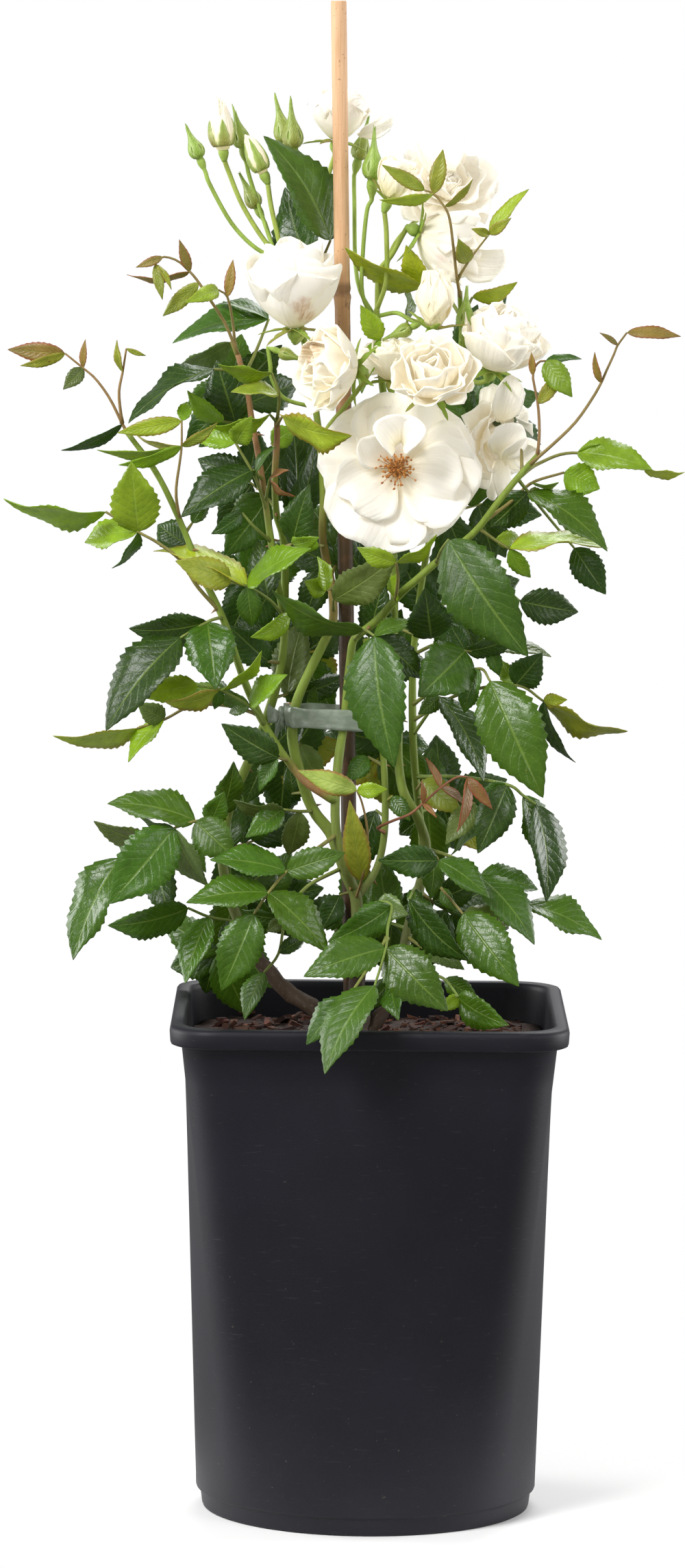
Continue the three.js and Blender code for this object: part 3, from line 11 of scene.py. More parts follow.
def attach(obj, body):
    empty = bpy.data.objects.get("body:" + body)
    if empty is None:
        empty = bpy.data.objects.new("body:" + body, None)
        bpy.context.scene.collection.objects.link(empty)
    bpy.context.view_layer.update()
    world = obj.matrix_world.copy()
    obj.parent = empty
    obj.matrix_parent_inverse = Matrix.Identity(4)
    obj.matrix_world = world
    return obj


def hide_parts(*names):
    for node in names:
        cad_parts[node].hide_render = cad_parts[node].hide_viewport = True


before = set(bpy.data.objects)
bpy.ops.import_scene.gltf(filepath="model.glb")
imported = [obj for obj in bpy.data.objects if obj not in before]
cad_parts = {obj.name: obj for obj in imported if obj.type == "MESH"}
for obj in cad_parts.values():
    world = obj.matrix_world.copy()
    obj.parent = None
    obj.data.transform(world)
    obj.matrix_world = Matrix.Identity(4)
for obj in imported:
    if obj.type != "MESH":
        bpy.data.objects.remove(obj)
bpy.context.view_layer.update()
print("frame loaded")

# A reading is across, up and depth: a place on the middle plane, moved along the line of sight
eye = {"across": -16, "up": 829, "distance": 4000}

# Rods of wood: node, parent, first and last radius, readings
stems = [
  ["rose_crown", "", 12, 8, [[-6, 222, -7], [-7, 246, -7], [-9, 268, -6], [-8, 286, -5]]],
  ["rose_crown", "", 5.2, 3.6, [[-12, 262, -6], [-28, 279, 0], [-45, 291, 4], [-62, 309, 6], [-70, 322, 8]]],
  ["rose_crown", "", 5, 3.8, [[-8, 275, -2], [-7, 302, -4], [-7, 329, -5]]],
  ["rose_crown", "", 4.6, 3.4, [[-4, 262, -6], [9, 281, 2], [16, 296, 8]]],
  ["stem_left_back", "rose_crown", 3.2, 1.7, [[-70, 321, 8], [-79, 345, 10], [-83, 370, 10], [-78, 398, 8],
    [-68, 422, 8], [-58, 447, 9], [-50, 480, 10], [-49, 515, 12], [-50, 545, 10], [-54, 560, 6],
    [-55, 580, 4], [-54, 600, 2], [-54, 612, 2]]],
  ["stem_left_back", "", 2.2, 1.5, [[-49, 500, 11], [-53, 520, 2], [-57, 545, -2], [-60, 565, -2],
    [-63, 585, 0], [-68, 612, 2], [-71, 630, 2], [-76, 648, 2]]],
  ["stem_centre", "rose_crown", 3.6, 1.8, [[-7, 328, -5], [-8, 345, -6], [-13, 357, -7], [-22, 380, -8],
    [-31, 392, -8], [-37, 405, -8], [-44, 432, -8], [-43, 450, -6], [-38, 465, -4], [-27, 488, 0],
    [-22, 500, 4], [-23, 520, 6], [-28, 545, 8], [-28, 570, 10], [-30, 600, 12], [-36, 640, 12],
    [-41, 664, 10]]],
  ["stem_centre", "", 2.2, 1.6, [[-7, 345, -5], [2, 358, 0], [7, 375, 2], [8, 400, 2], [6, 430, 2],
    [2, 448, 1], [0, 465, 4], [-4, 490, 6]]],
  ["stem_right", "stem_centre", 2.9, 1.7, [[-9, 349, -7], [-14, 362, -14], [-19, 380, -17], [-20, 400, -16],
    [-18, 425, -11], [-15, 446, -9], [-12, 480, -10], [-10, 490, -11], [-3, 496, -14], [5, 503, -18],
    [15, 515, -24], [25, 524, -28], [35, 533, -30], [48, 543, -34], [58, 552, -38], [70, 568, -42],
    [82, 583, -42], [91, 593, -40]]],
  ["stem_left_long", "stem_right", 2.5, 1.5, [[-20, 400, -16], [-25, 402, -20], [-40, 413, -21],
    [-59, 440, -19], [-72, 468, -18], [-83, 500, -16], [-95, 525, -16], [-108, 556, -16], [-121, 582, -16],
    [-137, 604, -14]]],
  ["stem_middle", "rose_crown", 3.1, 1.8, [[16, 295, 8], [22, 330, 12], [31, 368, 12], [27, 388, 8],
    [18, 405, 8], [15, 425, 12], [15, 450, 16], [12, 480, 18], [12, 520, 18], [10, 560, 18], [8, 600, 16],
    [4, 635, 14], [0, 662, 12]]],
  ["stem_tall_right", "stem_middle", 2.6, 1.4, [[22, 332, 12], [28, 350, 22], [29, 375, 24], [25, 410, 24],
    [23, 440, 24], [23, 480, 24], [27, 520, 20], [34, 560, 18], [42, 600, 16], [47, 640, 14], [48, 662, 10],
    [47, 684, -2]]],
  ["truss_left", "stem_centre", 1.9, 1.5, [[-41, 663, 10], [-44, 680, 12], [-48, 695, 12], [-52, 702, 12]]],
  ["truss_middle", "stem_middle", 1.9, 1.6, [[0, 661, 12], [1, 668, 11], [1, 674, 10]]],
]

# Leaves by stem: the readings of a stalk, its leaflets, and a letter for each leaflet's tint.
# A leaflet is the point of the stalk it grows from, the reading of its tip and its width as seen.
leaves = [
  ["stem_left_long", [
    [[[-85, 503, -16], [-98, 519, -20], [-107, 533, -22], [-120, 543, -22], [-131, 549, -22],
      [-149, 560, -20]], [[5, -206, 567, -14, 12], [4, -135, 588, -30, 27], [4, -145, 528, -16, 6],
      [4, -161, 543, -8, 14]], "bbmb"],
    [[[-60, 442, -19], [-68, 452, -26], [-85, 461, -28], [-97, 463, -28]], [[3, -128, 456, -26, 14],
      [2, -115, 453, -38, 10], [2, -113, 452, -20, 8], [2, -88, 450, -24, 6], [1, -80, 448, -20, 7],
      [1, -90, 468, -18, 10], [2, -61, 482, -38, 7], [1, -48, 470, -36, 11]], "bobmmmbb"],
    [[[-63, 449, -19], [-80, 452, -12], [-100, 452, -8], [-116, 444, -8], [-131, 439, -8]],
      [[4, -178, 435, -4, 12], [3, -136, 420, -12, 9], [3, -131, 453, -14, 13]], "ybg"],
    [[[-84, 501, -16], [-92, 499, -24], [-107, 490, -30]], [[2, -149, 438, -40, 26], [1, -136, 494, -20, 19],
      [1, -87, 461, -38, 28]], "ddm"],
    [[[-102, 541, -16], [-104, 542, -10]], [[1, -120, 553, -2, 18], [1, -82, 535, -8, 8]], "db"],
    [[[-104, 547, -16], [-101, 554, -12]], [[1, -92, 569, -8, 9]], "m"],
    [[[-47, 421, -20], [-52, 423, -28]], [[1, -84, 442, -34, 19], [1, -63, 404, -24, 9]], "dm"],
  ]],
  ["stem_left_back", [
    [[[-62, 580, 0], [-67, 584, -8]], [[1, -107, 557, -14, 20]], "d"],
    [[[-57, 545, -2], [-66, 552, -10], [-73, 560, -12]], [[2, -90, 548, -16, 10]], "d"],
    [[[-72, 636, 2], [-66, 650, 10], [-59, 668, 14]], [[2, -113, 656, 14, 15], [2, -87, 677, 20, 6],
      [1, -63, 644, 16, 9]], "mmm"],
    [[[-75, 645, 2], [-80, 655, 10]], [[1, -109, 642, 18, 12]], "g"],
    [[[-72, 634, 2], [-81, 639, -4], [-89, 640, -8]], [[2, -137, 610, -14, 10]], "d"],
    [[[-54, 611, 2], [-53, 626, -8], [-57, 638, -10]], [[2, -87, 643, -12, 8], [1, -80, 627, -14, 7]], "bo"],
    [[[-67, 606, 2], [-77, 610, 10], [-84, 611, 6]], [[1, -88, 645, 16, 26], [2, -104, 628, 0, 11]], "db"],
    [[[-54, 611, 2], [-58, 615, -4]], [[1, -91, 607, -10, 8]], "b"],
    [[[-54, 609, 2], [-51, 614, -26]], [[1, -12, 604, -62, 16]], "y"],
    [[[-60, 562, -2], [-66, 580, -8], [-77, 599, -10]], [[2, -68, 614, -14, 13], [2, -102, 603, -4, 12],
      [1, -55, 597, -16, 4]], "bbm"],
    [[[-54, 596, 2], [-57, 599, 10]], [[1, -44, 608, 10, 13]], "b"],
    [[[-60, 567, -2], [-58, 579, -8]], [[1, -47, 584, -12, 2.5], [1, -44, 569, -10, 3]], "rr"],
    [[[-50, 546, 10], [-44, 556, 18]], [[1, -46, 612, 24, 24], [1, -33, 602, 16, 18]], "dd"],
    [[[-50, 540, 10], [-45, 543, 2]], [[1, -36, 576, -6, 18], [1, -30, 547, -8, 10]], "db"],
    [[[-49, 503, 11], [-58, 512, -8], [-70, 519, -18], [-79, 521, -20]], [[3, -110, 533, -32, 17],
      [2, -34, 540, -34, 13], [1, -64, 545, 2, 18], [2, -67, 496, -12, 14], [2, -122, 540, -6, 10]],
      "obdmy"],
    [[[-49, 495, 11], [-46, 503, -8]], [[1, -67, 490, -20, 11]], "b"],
    [[[-51, 477, 10], [-58, 477, 6]], [[1, -80, 497, 4, 20]], "d"],
    [[[-55, 458, 9], [-47, 459, 16]], [[1, -38, 503, 20, 20], [1, -14, 470, 28, 15]], "gd"],
    [[[-79, 394, 8], [-84, 391, -4]], [[1, -77, 421, -12, 15]], "m"],
    [[[-82, 378, 10], [-90, 386, -16], [-98, 387, -28], [-110, 383, -36]], [[3, -146, 340, -46, 32],
      [2, -147, 398, -30, 17], [2, -75, 366, -36, 22], [1, -82, 404, -26, 14], [3, -130, 390, -24, 7],
      [3, -91, 350, -26, 15]], "mmmmdg"],
    [[[-83, 368, 10], [-104, 374, 6], [-120, 374, -2], [-140, 366, -6]], [[3, -166, 308, -12, 24],
      [2, -155, 387, -4, 15], [2, -111, 331, -14, 20], [1, -92, 358, 0, 10]], "mgdm"],
    [[[-72, 328, 8], [-79, 331, -4], [-90, 333, -10], [-102, 338, -14]], [[3, -147, 328, -18, 20],
      [2, -103, 295, -22, 17], [1, -85, 305, -14, 11]], "mmd"],
  ]],
  ["stem_centre", [
    [[[-22, 506, 5], [-22, 512, -14]], [[1, 14, 537, -22, 22]], "g"],
    [[[-23, 520, 6], [-26, 517, -6]], [[1, -38, 522, -12, 12], [1, -31, 536, -14, 9]], "bb"],
    [[[-24, 526, 6], [-29, 529, 14]], [[1, -38, 500, 20, 17]], "d"],
    [[[-3, 484, 6], [-2, 491, 14]], [[1, 6, 524, 20, 18]], "d"],
    [[[-27, 541, 8], [-30, 542, -4]], [[1, -44, 548, -8, 10]], "b"],
    [[[-43, 428, -8], [-40, 431, 0]], [[1, -28, 407, 4, 15]], "g"],
    [[[-37, 404, -8], [-44, 403, 0]], [[1, -46, 421, 0, 9]], "d"],
    [[[-32, 394, -8], [-40, 393, -16], [-49, 394, -20]], [[2, -77, 398, -30, 11], [2, -70, 378, -22, 14],
      [1, -46, 368, -6, 15]], "gmg"],
  ]],
  ["stem_right", [
    [[[-19, 380, -17], [-34, 369, -30], [-47, 359, -46], [-57, 347, -52], [-65, 335, -54]],
      [[4, -83, 291, -60, 25], [3, -23, 313, -58, 20], [3, -103, 341, -54, 16], [2, -14, 370, -50, 17],
      [2, -90, 365, -48, 14]], "mmmmm"],
  ]],
  ["stem_centre", [
    [[[-9, 349, -6], [-17, 346, 0]], [[1, -27, 326, -2, 14]], "d"],
    # The leaf that hangs over the rim
    [[[-16, 363, -7], [-36, 350, -16], [-47, 333, -24], [-51, 313, -32], [-59, 302, -38]],
      [[4, -70, 275, -44, 12], [3, -36, 321, -26, 8], [2, -58, 325, -20, 8], [2, -72, 337, -18, 10]],
      "mdgd"],
    [[[8, 398, 2], [12, 402, 0]], [[1, 22, 388, -4, 10]], "m"],
    [[[8, 390, 2], [3, 394, 12]], [[1, -6, 358, 18, 18]], "d"],
    [[[7, 420, 2], [-2, 424, 4]], [[1, -14, 410, 6, 12]], "m"],
    [[[-7, 334, -5], [4, 342, -28], [12, 340, -48], [10, 328, -64], [9, 316, -78], [3, 295, -104]],
      [[5, -25, 245, -126, 20], [4, 44, 281, -94, 28], [4, -37, 300, -86, 21], [2, -23, 319, -62, 20],
      [1, 22, 335, -38, 15]], "mmmmg"],
    [[[9, 316, -78], [-2, 303, -94], [-12, 288, -106]], [[2, -35, 261, -119, 15]], "m"],
  ]],
  ["stem_right", [
    [[[-10, 490, -11], [-5, 495, -22], [1, 492, -34]], [[2, 13, 418, -46, 34], [2, 28, 468, -26, 18],
      [1, -57, 515, -26, 14], [2, 25, 500, -30, 8]], "mdmm"],
    [[[13, 513, -23], [14, 524, -52], [13, 533, -66]], [[2, -9, 541, -68, 11], [2, 36, 548, -70, 7],
      [0, 14, 527, -34, 6]], "bbb"],
    [[[35, 533, -30], [38, 540, -42], [42, 546, -48]], [[2, 87, 481, -60, 38]], "m"],
    [[[59, 553, -38], [68, 546, -36], [76, 541, -36]], [[2, 131, 542, -38, 9], [2, 88, 525, -32, 10],
      [1, 82, 547, -28, 10]], "ybb"],
    [[[48, 543, -34], [66, 526, -28], [82, 512, -26]], [[2, 115, 506, -22, 20]], "d"],
    [[[5, 503, -18], [20, 494, -22], [33, 491, -28]], [[2, 29, 519, -36, 25]], "d"],
    [[[80, 581, -42], [86, 573, -36], [100, 556, -24], [112, 542, -24]], [[3, 130, 516, -26, 18],
      [1, 131, 541, -40, 17], [1, 65, 553, -26, 18], [1, 100, 566, -28, 6]], "dmdg"],
    [[[62, 557, -39], [76, 567, -34], [88, 578, -28], [106, 584, -26]], [[3, 126, 575, -26, 19],
      [2, 103, 578, -36, 4]], "bb"],
    [[[78, 578, -42], [92, 589, -26], [113, 595, -28], [150, 587, -30]], [[3, 173, 584, -28, 5],
      [2, 155, 586, -36, 17], [2, 134, 602, -24, 8]], "ybb"],
    [[[83, 584, -42], [82, 600, -22]], [[1, 69, 613, 22, 9], [1, 72, 618, 30, 6]], "dd"],
  ]],
  ["stem_middle", [
    [[[22, 334, 12], [25, 350, -8], [22, 344, -34]], [[2, 55, 309, -52, 19], [2, 34, 309, -24, 12],
      [1, 25, 336, -14, 9]], "dmm"],
    [[[30, 364, 12], [36, 368, -12], [38, 366, -24]], [[2, 67, 345, -30, 14], [2, 4, 366, -34, 18],
      [1, 34, 344, -14, 13]], "mdm"],
    [[[18, 306, 9], [32, 302, -8], [42, 299, -22], [50, 289, -36]], [[3, 78, 273, -62, 18],
      [2, 61, 288, -24, 12], [3, 40, 281, -46, 8]], "mmb"],
    [[[21, 322, 11], [33, 314, 0]], [[1, 53, 305, -8, 10]], "g"],
    [[[17, 300, 8], [12, 300, -12]], [[1, 17, 275, -30, 14], [1, -4, 281, -26, 12]], "md"],
    [[[1, 655, 12], [3, 657, 2]], [[1, -8, 676, -4, 12], [1, -7, 627, 0, 10]], "bb"],
    [[[2, 650, 13], [16, 662, 16], [18, 668, 18]], [[2, 16, 689, 20, 5]], "g"],
    [[[12, 500, 18], [0, 516, 26]], [[1, -18, 556, 30, 20], [1, 20, 548, 34, 20]], "dd"],
  ]],
  ["stem_tall_right", [
    [[[23, 480, 24], [38, 488, 4], [52, 484, -14], [66, 485, -8]], [[2, 26, 458, -34, 32],
      [2, 42, 501, -12, 12], [2, 81, 493, -18, 12], [3, 100, 481, -8, 7], [3, 71, 470, -8, 9]], "mddgm"],
    [[[23, 455, 24], [44, 468, 2], [60, 474, -20], [66, 467, -28]], [[3, 96, 402, -46, 36],
      [2, 52, 449, -8, 12]], "mm"],
    [[[23, 445, 24], [50, 460, 8], [80, 465, -6], [96, 456, -12]], [[3, 143, 439, -20, 11],
      [3, 109, 457, -22, 8], [2, 95, 483, -16, 19], [2, 71, 479, 2, 9], [3, 113, 421, -8, 8]], "oydbd"],
    [[[24, 435, 24], [38, 458, 8]], [[1, 63, 411, -4, 17], [1, 26, 448, 4, 10]], "dm"],
    [[[25, 412, 24], [50, 413, 10], [76, 409, -8], [85, 403, -8], [92, 398, -8]], [[2, 60, 370, -16, 21],
      [4, 99, 343, -10, 19], [2, 62, 402, -2, 10], [3, 93, 369, 4, 14]], "ddmm"],
    [[[26, 405, 24], [29, 411, 14]], [[1, 51, 392, 6, 16]], "o"],
    [[[27, 400, 24], [45, 402, 8], [58, 398, -2]], [[2, 42, 375, -10, 14], [2, 45, 369, 6, 9]], "gm"],
    [[[29, 360, 23], [40, 350, 4], [52, 336, -18]], [[2, 84, 295, -40, 28], [1, 49, 337, -2, 8],
      [2, 78, 329, -8, 12]], "mmg"],
    [[[29, 375, 24], [50, 366, 6], [61, 357, -6]], [[2, 93, 320, -22, 20], [2, 94, 350, 4, 14]], "mm"],
    [[[29, 368, 24], [60, 352, 14], [88, 342, 8]], [[2, 130, 322, 4, 15]], "m"],
    [[[44, 606, 16], [52, 613, 4]], [[1, 35, 621, 2, 8]], "m"],
    [[[47, 645, 14], [46, 652, 22]], [[1, 57, 677, 26, 14], [1, 73, 682, 28, 12]], "dd"],
    [[[48, 668, 8], [54, 681, 8]], [[1, 79, 689, 4, 9]], "y"],
    [[[48, 670, 7], [38, 684, 10], [28, 687, 8]], [[2, -17, 708, 2, 12], [2, 17, 710, 4, 14]], "yy"],
  ]],
  ["truss_left", [
    [[[-42, 668, 11], [-34, 690, 14], [-25, 712, 14]], [[2, -61, 770, 8, 26], [1, -50, 741, 18, 26],
      [2, -30, 742, 22, 12]], "mdd"],
  ]],
  # Behind the stems
  ["stem_left_back", [
    [[[-83, 368, 10], [-78, 372, 26], [-66, 376, 40]], [[2, -38, 392, 52, 20], [2, -60, 398, 44, 16],
      [1, -62, 356, 40, 18]], "dmd"],
    [[[-80, 350, 10], [-70, 346, 28], [-58, 344, 42]], [[2, -26, 350, 52, 20], [2, -44, 322, 50, 18],
      [1, -66, 322, 36, 16]], "ddd"],
    [[[-66, 426, 8], [-58, 424, 30], [-46, 422, 44]], [[2, -16, 432, 52, 20], [2, -34, 404, 50, 20],
      [1, -52, 446, 38, 16]], "ooo"],
    [[[-52, 470, 10], [-46, 476, 30], [-38, 482, 44]], [[2, -14, 500, 52, 22], [2, -20, 466, 54, 20],
      [1, -58, 500, 38, 18]], "doo"],
    [[[-49, 512, 12], [-58, 520, 32], [-70, 526, 46]], [[2, -100, 532, 54, 20], [2, -78, 500, 56, 18],
      [1, -46, 536, 44, 18]], "ddd"],
    [[[-54, 562, 6], [-60, 570, 30], [-70, 578, 44]], [[2, -98, 590, 52, 20], [2, -64, 606, 54, 18],
      [1, -78, 556, 40, 18]], "ddm"],
    [[[-68, 612, 2], [-72, 622, 26], [-80, 630, 40]], [[2, -104, 620, 50, 18], [2, -74, 660, 52, 18],
      [1, -54, 640, 36, 16]], "mmd"],
    [[[-71, 324, 8], [-78, 318, 30], [-86, 312, 44]], [[2, -112, 304, 56, 20], [2, -92, 290, 58, 16],
      [1, -58, 302, 40, 16]], "ddd"],
  ]],
  ["stem_centre", [
    [[[-23, 524, 6], [-20, 532, 28], [-14, 538, 42]], [[2, 14, 548, 52, 22], [2, -16, 574, 46, 20],
      [1, -42, 544, 40, 18]], "dmd"],
  ]],
  ["stem_middle", [
    [[[12, 470, 17], [8, 474, 36], [2, 478, 50]], [[2, -20, 488, 58, 20], [2, 10, 446, 60, 22],
      [1, 30, 478, 46, 18]], "ddd"],
    [[[15, 436, 14], [10, 430, 34], [4, 424, 48]], [[2, -18, 412, 56, 20], [2, 12, 394, 58, 20],
      [1, 32, 430, 44, 18]], "ood"],
    [[[20, 326, 11], [6, 332, 34], [-8, 336, 48]], [[2, -38, 338, 58, 20], [2, -14, 308, 60, 20],
      [1, 10, 364, 44, 20]], "dgd"],
    [[[10, 556, 18], [4, 562, 38], [-4, 568, 52]], [[2, -26, 586, 60, 20], [2, 18, 592, 60, 20],
      [1, -18, 548, 46, 18]], "ddm"],
  ]],
  ["stem_tall_right", [
    [[[26, 392, 24], [34, 396, 42], [44, 400, 56]], [[2, 76, 412, 64, 22], [2, 60, 372, 66, 20],
      [1, 16, 380, 50, 18]], "dod"],
    [[[24, 500, 22], [36, 508, 40], [50, 514, 54]], [[2, 82, 524, 62, 22], [2, 60, 486, 66, 20],
      [1, 22, 530, 50, 20]], "dmd"],
    [[[28, 348, 21], [36, 342, 42], [46, 336, 56]], [[2, 78, 328, 66, 22], [2, 48, 306, 66, 20],
      [1, 14, 340, 48, 18]], "ddd"],
    [[[33, 556, 18], [46, 562, 38], [60, 566, 52]], [[2, 94, 560, 60, 20], [2, 74, 536, 64, 18],
      [1, 38, 536, 44, 16]], "ddm"],
    [[[43, 604, 16], [52, 612, 36], [62, 618, 50]], [[2, 92, 628, 58, 18], [2, 70, 650, 60, 18],
      [1, 44, 640, 42, 16]], "mmd"],
  ]],
]

# Young leaves: node, parent, and the same as above
shoots = [
  ["shoot_far_left", "stem_left_long", [[-136, 603, -14], [-140, 609, -14], [-147, 623, -14],
    [-155, 634, -13], [-162, 640, -12], [-172, 648, -12]], [[1, -174, 594, -10, 6], [4, -173, 628, -16, 9],
    [4, -161, 656, -12, 4], [5, -204, 650, -10, 11], [5, -197, 641, -14, 6]], "dguuo"],
  ["shoot_far_left", "stem_left_long", [[-140, 609, -14], [-142, 626, -16], [-140, 638, -15],
    [-138, 651, -15]], [[3, -127, 647, -14, 3], [2, -143, 656, -21, 4]], "oo"],
  ["shoot_left_fork", "stem_left_long", [[-108, 556, -16], [-110, 571, -19], [-108, 588, -20],
    [-107, 597, -20], [-107, 611, -20]], [[3, -154, 595, -12, 6], [3, -142, 586, -22, 7],
    [3, -135, 604, -6, 4], [3, -87, 610, -26, 6], [4, -143, 604, -20, 10], [4, -104, 622, -14, 8]],
    "bbooyb"],
  ["shoot_upper_left", "stem_left_back", [[-76, 648, 2], [-83, 665, 0], [-92, 679, -2], [-98, 688, -2],
    [-103, 694, -2], [-110, 700, -2], [-118, 702, -2], [-122, 698, -2]], [[3, -118, 669, 4, 9],
    [4, -138, 691, 6, 4], [4, -109, 712, -6, 6], [6, -133, 696, -4, 5], [7, -118, 678, -6, 6],
    [7, -113, 684, 2, 3]], "ouuuoo"],
  ["shoot_upper_left", "stem_left_back", [[-78, 652, 2], [-79, 666, 6], [-82, 680, 4], [-87, 684, 3]],
    [[2, -79, 701, 6, 6], [3, -105, 677, -10, 9]], "uy"],
  ["shoot_top_right", "stem_tall_right", [[47, 683, 0], [45, 694, -14], [43, 710, -21], [41, 724, -23],
    [38, 731, -23], [32, 738, -22], [27, 740, -22]], [[4, 54, 746, -24, 4], [5, 2, 734, -28, 6],
    [5, 37, 763, -20, 9], [6, 3, 754, -24, 8]], "oyoo"],
  ["shoot_top_right", "stem_tall_right", [[45, 694, -14], [51, 700, -20], [56, 707, -20], [63, 716, -19]],
    [[1, 46, 713, -28, 10], [3, 53, 719, -24, 5], [3, 85, 741, -17, 7], [3, 75, 725, -26, 6]], "ooyo"],
  ["shoot_right", "stem_right", [[91, 592, -40], [92, 606, -40], [91, 622, -38], [88, 638, -36],
    [91, 645, -35], [95, 646, -34]], [[2, 104, 639, -34, 8], [3, 87, 651, -38, 4], [5, 110, 626, -32, 14],
    [5, 115, 647, -28, 4]], "oubm"],
  ["shoot_far_right", "stem_right", [[86, 587, -41], [100, 600, -44], [112, 612, -42], [121, 625, -38],
    [126, 634, -38], [129, 641, -37], [133, 650, -36], [135, 655, -36], [140, 662, -36]],
    [[4, 122, 651, -42, 4], [7, 125, 662, -38, 3], [8, 170, 660, -34, 7]], "uuu"],
  ["shoot_red", "stem_centre", [[7, 382, 2], [4, 384, -12], [12, 388, -18], [22, 392, -20], [29, 398, -22],
    [39, 407, -24], [48, 413, -26], [54, 413, -26]], [[4, 28, 411, -26, 3], [4, 37, 390, -28, 3],
    [5, 30, 424, -24, 4], [5, 52, 398, -12, 4], [7, 68, 395, -28, 7], [7, 49, 382, -32, 6]], "rrrrrr"],
  ["shoot_low_red", "stem_centre", [[-8, 344, -6], [-5, 354, -20], [-2, 368, -26], [-2, 384, -28],
    [-5, 398, -30], [-8, 405, -32]], [[1, -12, 400, -36, 15], [5, -41, 416, -40, 13], [5, 9, 406, -34, 9]],
    "ovb"],
]

# One row for each bloom: its petals' layers, how far they outgrow its length, their spread in degrees,
# how creamy they are, and the readings of its base, top and stalk
bloomKeys = [
    "name", "node", "kind", "layers", "length", "grow", "turn", "spread", "cream", "base", "top", "stalk",
]
blooms = [dict(zip(bloomKeys, row)) for row in [
  ["bloom_top", "truss_left", "cup", "barrel", 33, 0.96, 20, -4, 0.06, [-22, 767, 34], [-19, 798, 36],
    [[-43, 676, 12], [-34, 712, 26], [-28, 742, 32]]],
  ["bloom_left", "stem_centre", "cup", "barrel", 51, 1.02, 10, -4, 0.06, [-45, 663, -14], [-46, 712, -20],
    [[-40, 659, 10], [-44, 655, 0]]],
  ["bloom_brown_edge", "stem_centre", "cup", "loose", 37, 0.92, 30, -8, 0.4, [-11, 640, -33], [-46, 643, -52],
    [[-30, 602, 12], [-25, 609, 0], [-16, 620, -6], [-5, 635, -16]]],
  ["bloom_small", "stem_middle", "small", "small", 22, 1.1, 50, -8, 0.5, [9, 635, -2], [7, 659, -8],
    [[5, 628, 14], [9, 626, -2]]],
  ["bloom_cup", "stem_tall_right", "cup", "loose", 36, 0.92, 0, -4, 0.35, [33, 630, -36], [32, 653, -66],
    [[44, 612, 16], [40, 626, 2], [35, 631, -16]]],
  ["bloom_open", "stem_middle", "open", "open", 42, 1, 12, 0, 0.06, [13, 585, -22], [13, 587, -60],
    [[10, 563, 18], [14, 578, 2]]],
  ["bloom_right", "stem_tall_right", "full", "full", 28, 1, 40, 0, 0.06, [62, 603, 10], [84, 598, -12],
    [[41, 594, 16], [49, 602, 14]]],
  ["bloom_right_upper", "stem_tall_right", "cup", "cup", 40, 1, 25, 0, 0.2, [65, 641, -6], [80, 682, -20],
    [[47, 641, 14], [56, 634, 4]]],
  ["bloom_crest", "truss_middle", "full", "full", 25, 1.2, 5, 0, 0.06, [38, 738, 50], [44, 754, 22],
    [[4, 684, 14], [8, 704, 24], [18, 719, 34]]],
  ["bloom_crest_low", "truss_middle", "cup", "cup", 40, 1, 15, -8, 0.06, [24, 717, 3], [64, 701, 9],
    [[-1, 672, 12], [2, 694, 12], [9, 704, 8], [16, 717, 4]]],
  ["bloom_half_open", "stem_tall_right", "tulip", "tulip", 33, 1.0, 70, -5, 0.8, [32, 664, -22],
    [35, 697, -24], [[47, 652, 13], [40, 650, -4], [33, 655, -18]]],
  ["bud_cream", "truss_middle", "tulip", "tulip", 24, 1, 0, 8, 0.8, [7, 735, -9], [15, 758, -12],
    [[2, 674, 11], [6, 690, 2], [6, 715, -6]]],
  ["bud_white", "truss_left", "bud", "bud", 27, 1, 30, 0, 0.7, [-85, 763, 12], [-88, 790, 12],
    [[-50, 699, 12], [-62, 712, 14], [-74, 731, 14], [-82, 750, 13]]],
  ["bud_yellow", "truss_left", "bud", "bud", 21, 1, 0, 0, 1.0, [-63, 750, 4], [-72, 770, 4], [[-51, 700, 12],
    [-54, 713, 6], [-58, 730, 4]]],
]]

# Green buds: node, readings of the stalk, base and tip
greenBuds = [
  ["truss_left", [[-51, 700, 12], [-66, 707, 8], [-80, 721, 6], [-92, 742, 4]], [-98, 757, 4],
    [-107, 778, 4]],
  ["truss_left", [[-56, 706, 16], [-63, 725, 22], [-70, 746, 24]], [-74, 763, 24], [-80, 788, 24]],
  ["truss_left", [[-58, 709, 15], [-61, 720, 22]], [-66, 730, 26], [-77, 751, 26]],
  ["truss_left", [[-45, 686, 12], [-40, 715, 24], [-46, 745, 26]], [-46, 763, 26], [-48, 793, 24]],
  ["truss_left", [[-46, 740, 26], [-49, 753, 30]], [-50, 766, 32], [-57, 794, 34]],
  ["truss_middle", [[0, 668, 11], [-10, 690, 26], [-12, 735, 46]], [-10, 757, 50], [-4, 782, 50]],
  ["truss_middle", [[-1, 666, 11], [-7, 682, 6], [-7, 705, 4], [-5, 728, 2]], [-2, 746, 2], [-1, 777, 0]],
  ["stem_tall_right", [[48, 658, 13], [50, 660, 2]], [50, 664, -4], [51, 690, -6]],
  ["stem_centre", [[-33, 620, 12], [-50, 624, 6], [-57, 635, 2], [-58, 643, 0]], [-53, 650, -2],
    [-36, 644, -4]],
  ["truss_middle", [[1, 670, 11], [12, 672, 2], [20, 668, -2]], [20, 664, -3], [2, 656, -4]],
]


# The place in space of a reading: one nearer or farther than the middle plane shifts towards or off the eye
def seen(reading):
    across, up, depth = reading
    k = (eye["distance"] + depth) / eye["distance"]
    return Vector((eye["across"] + (across - eye["across"]) * k, depth, eye["up"] + (up - eye["up"]) * k))


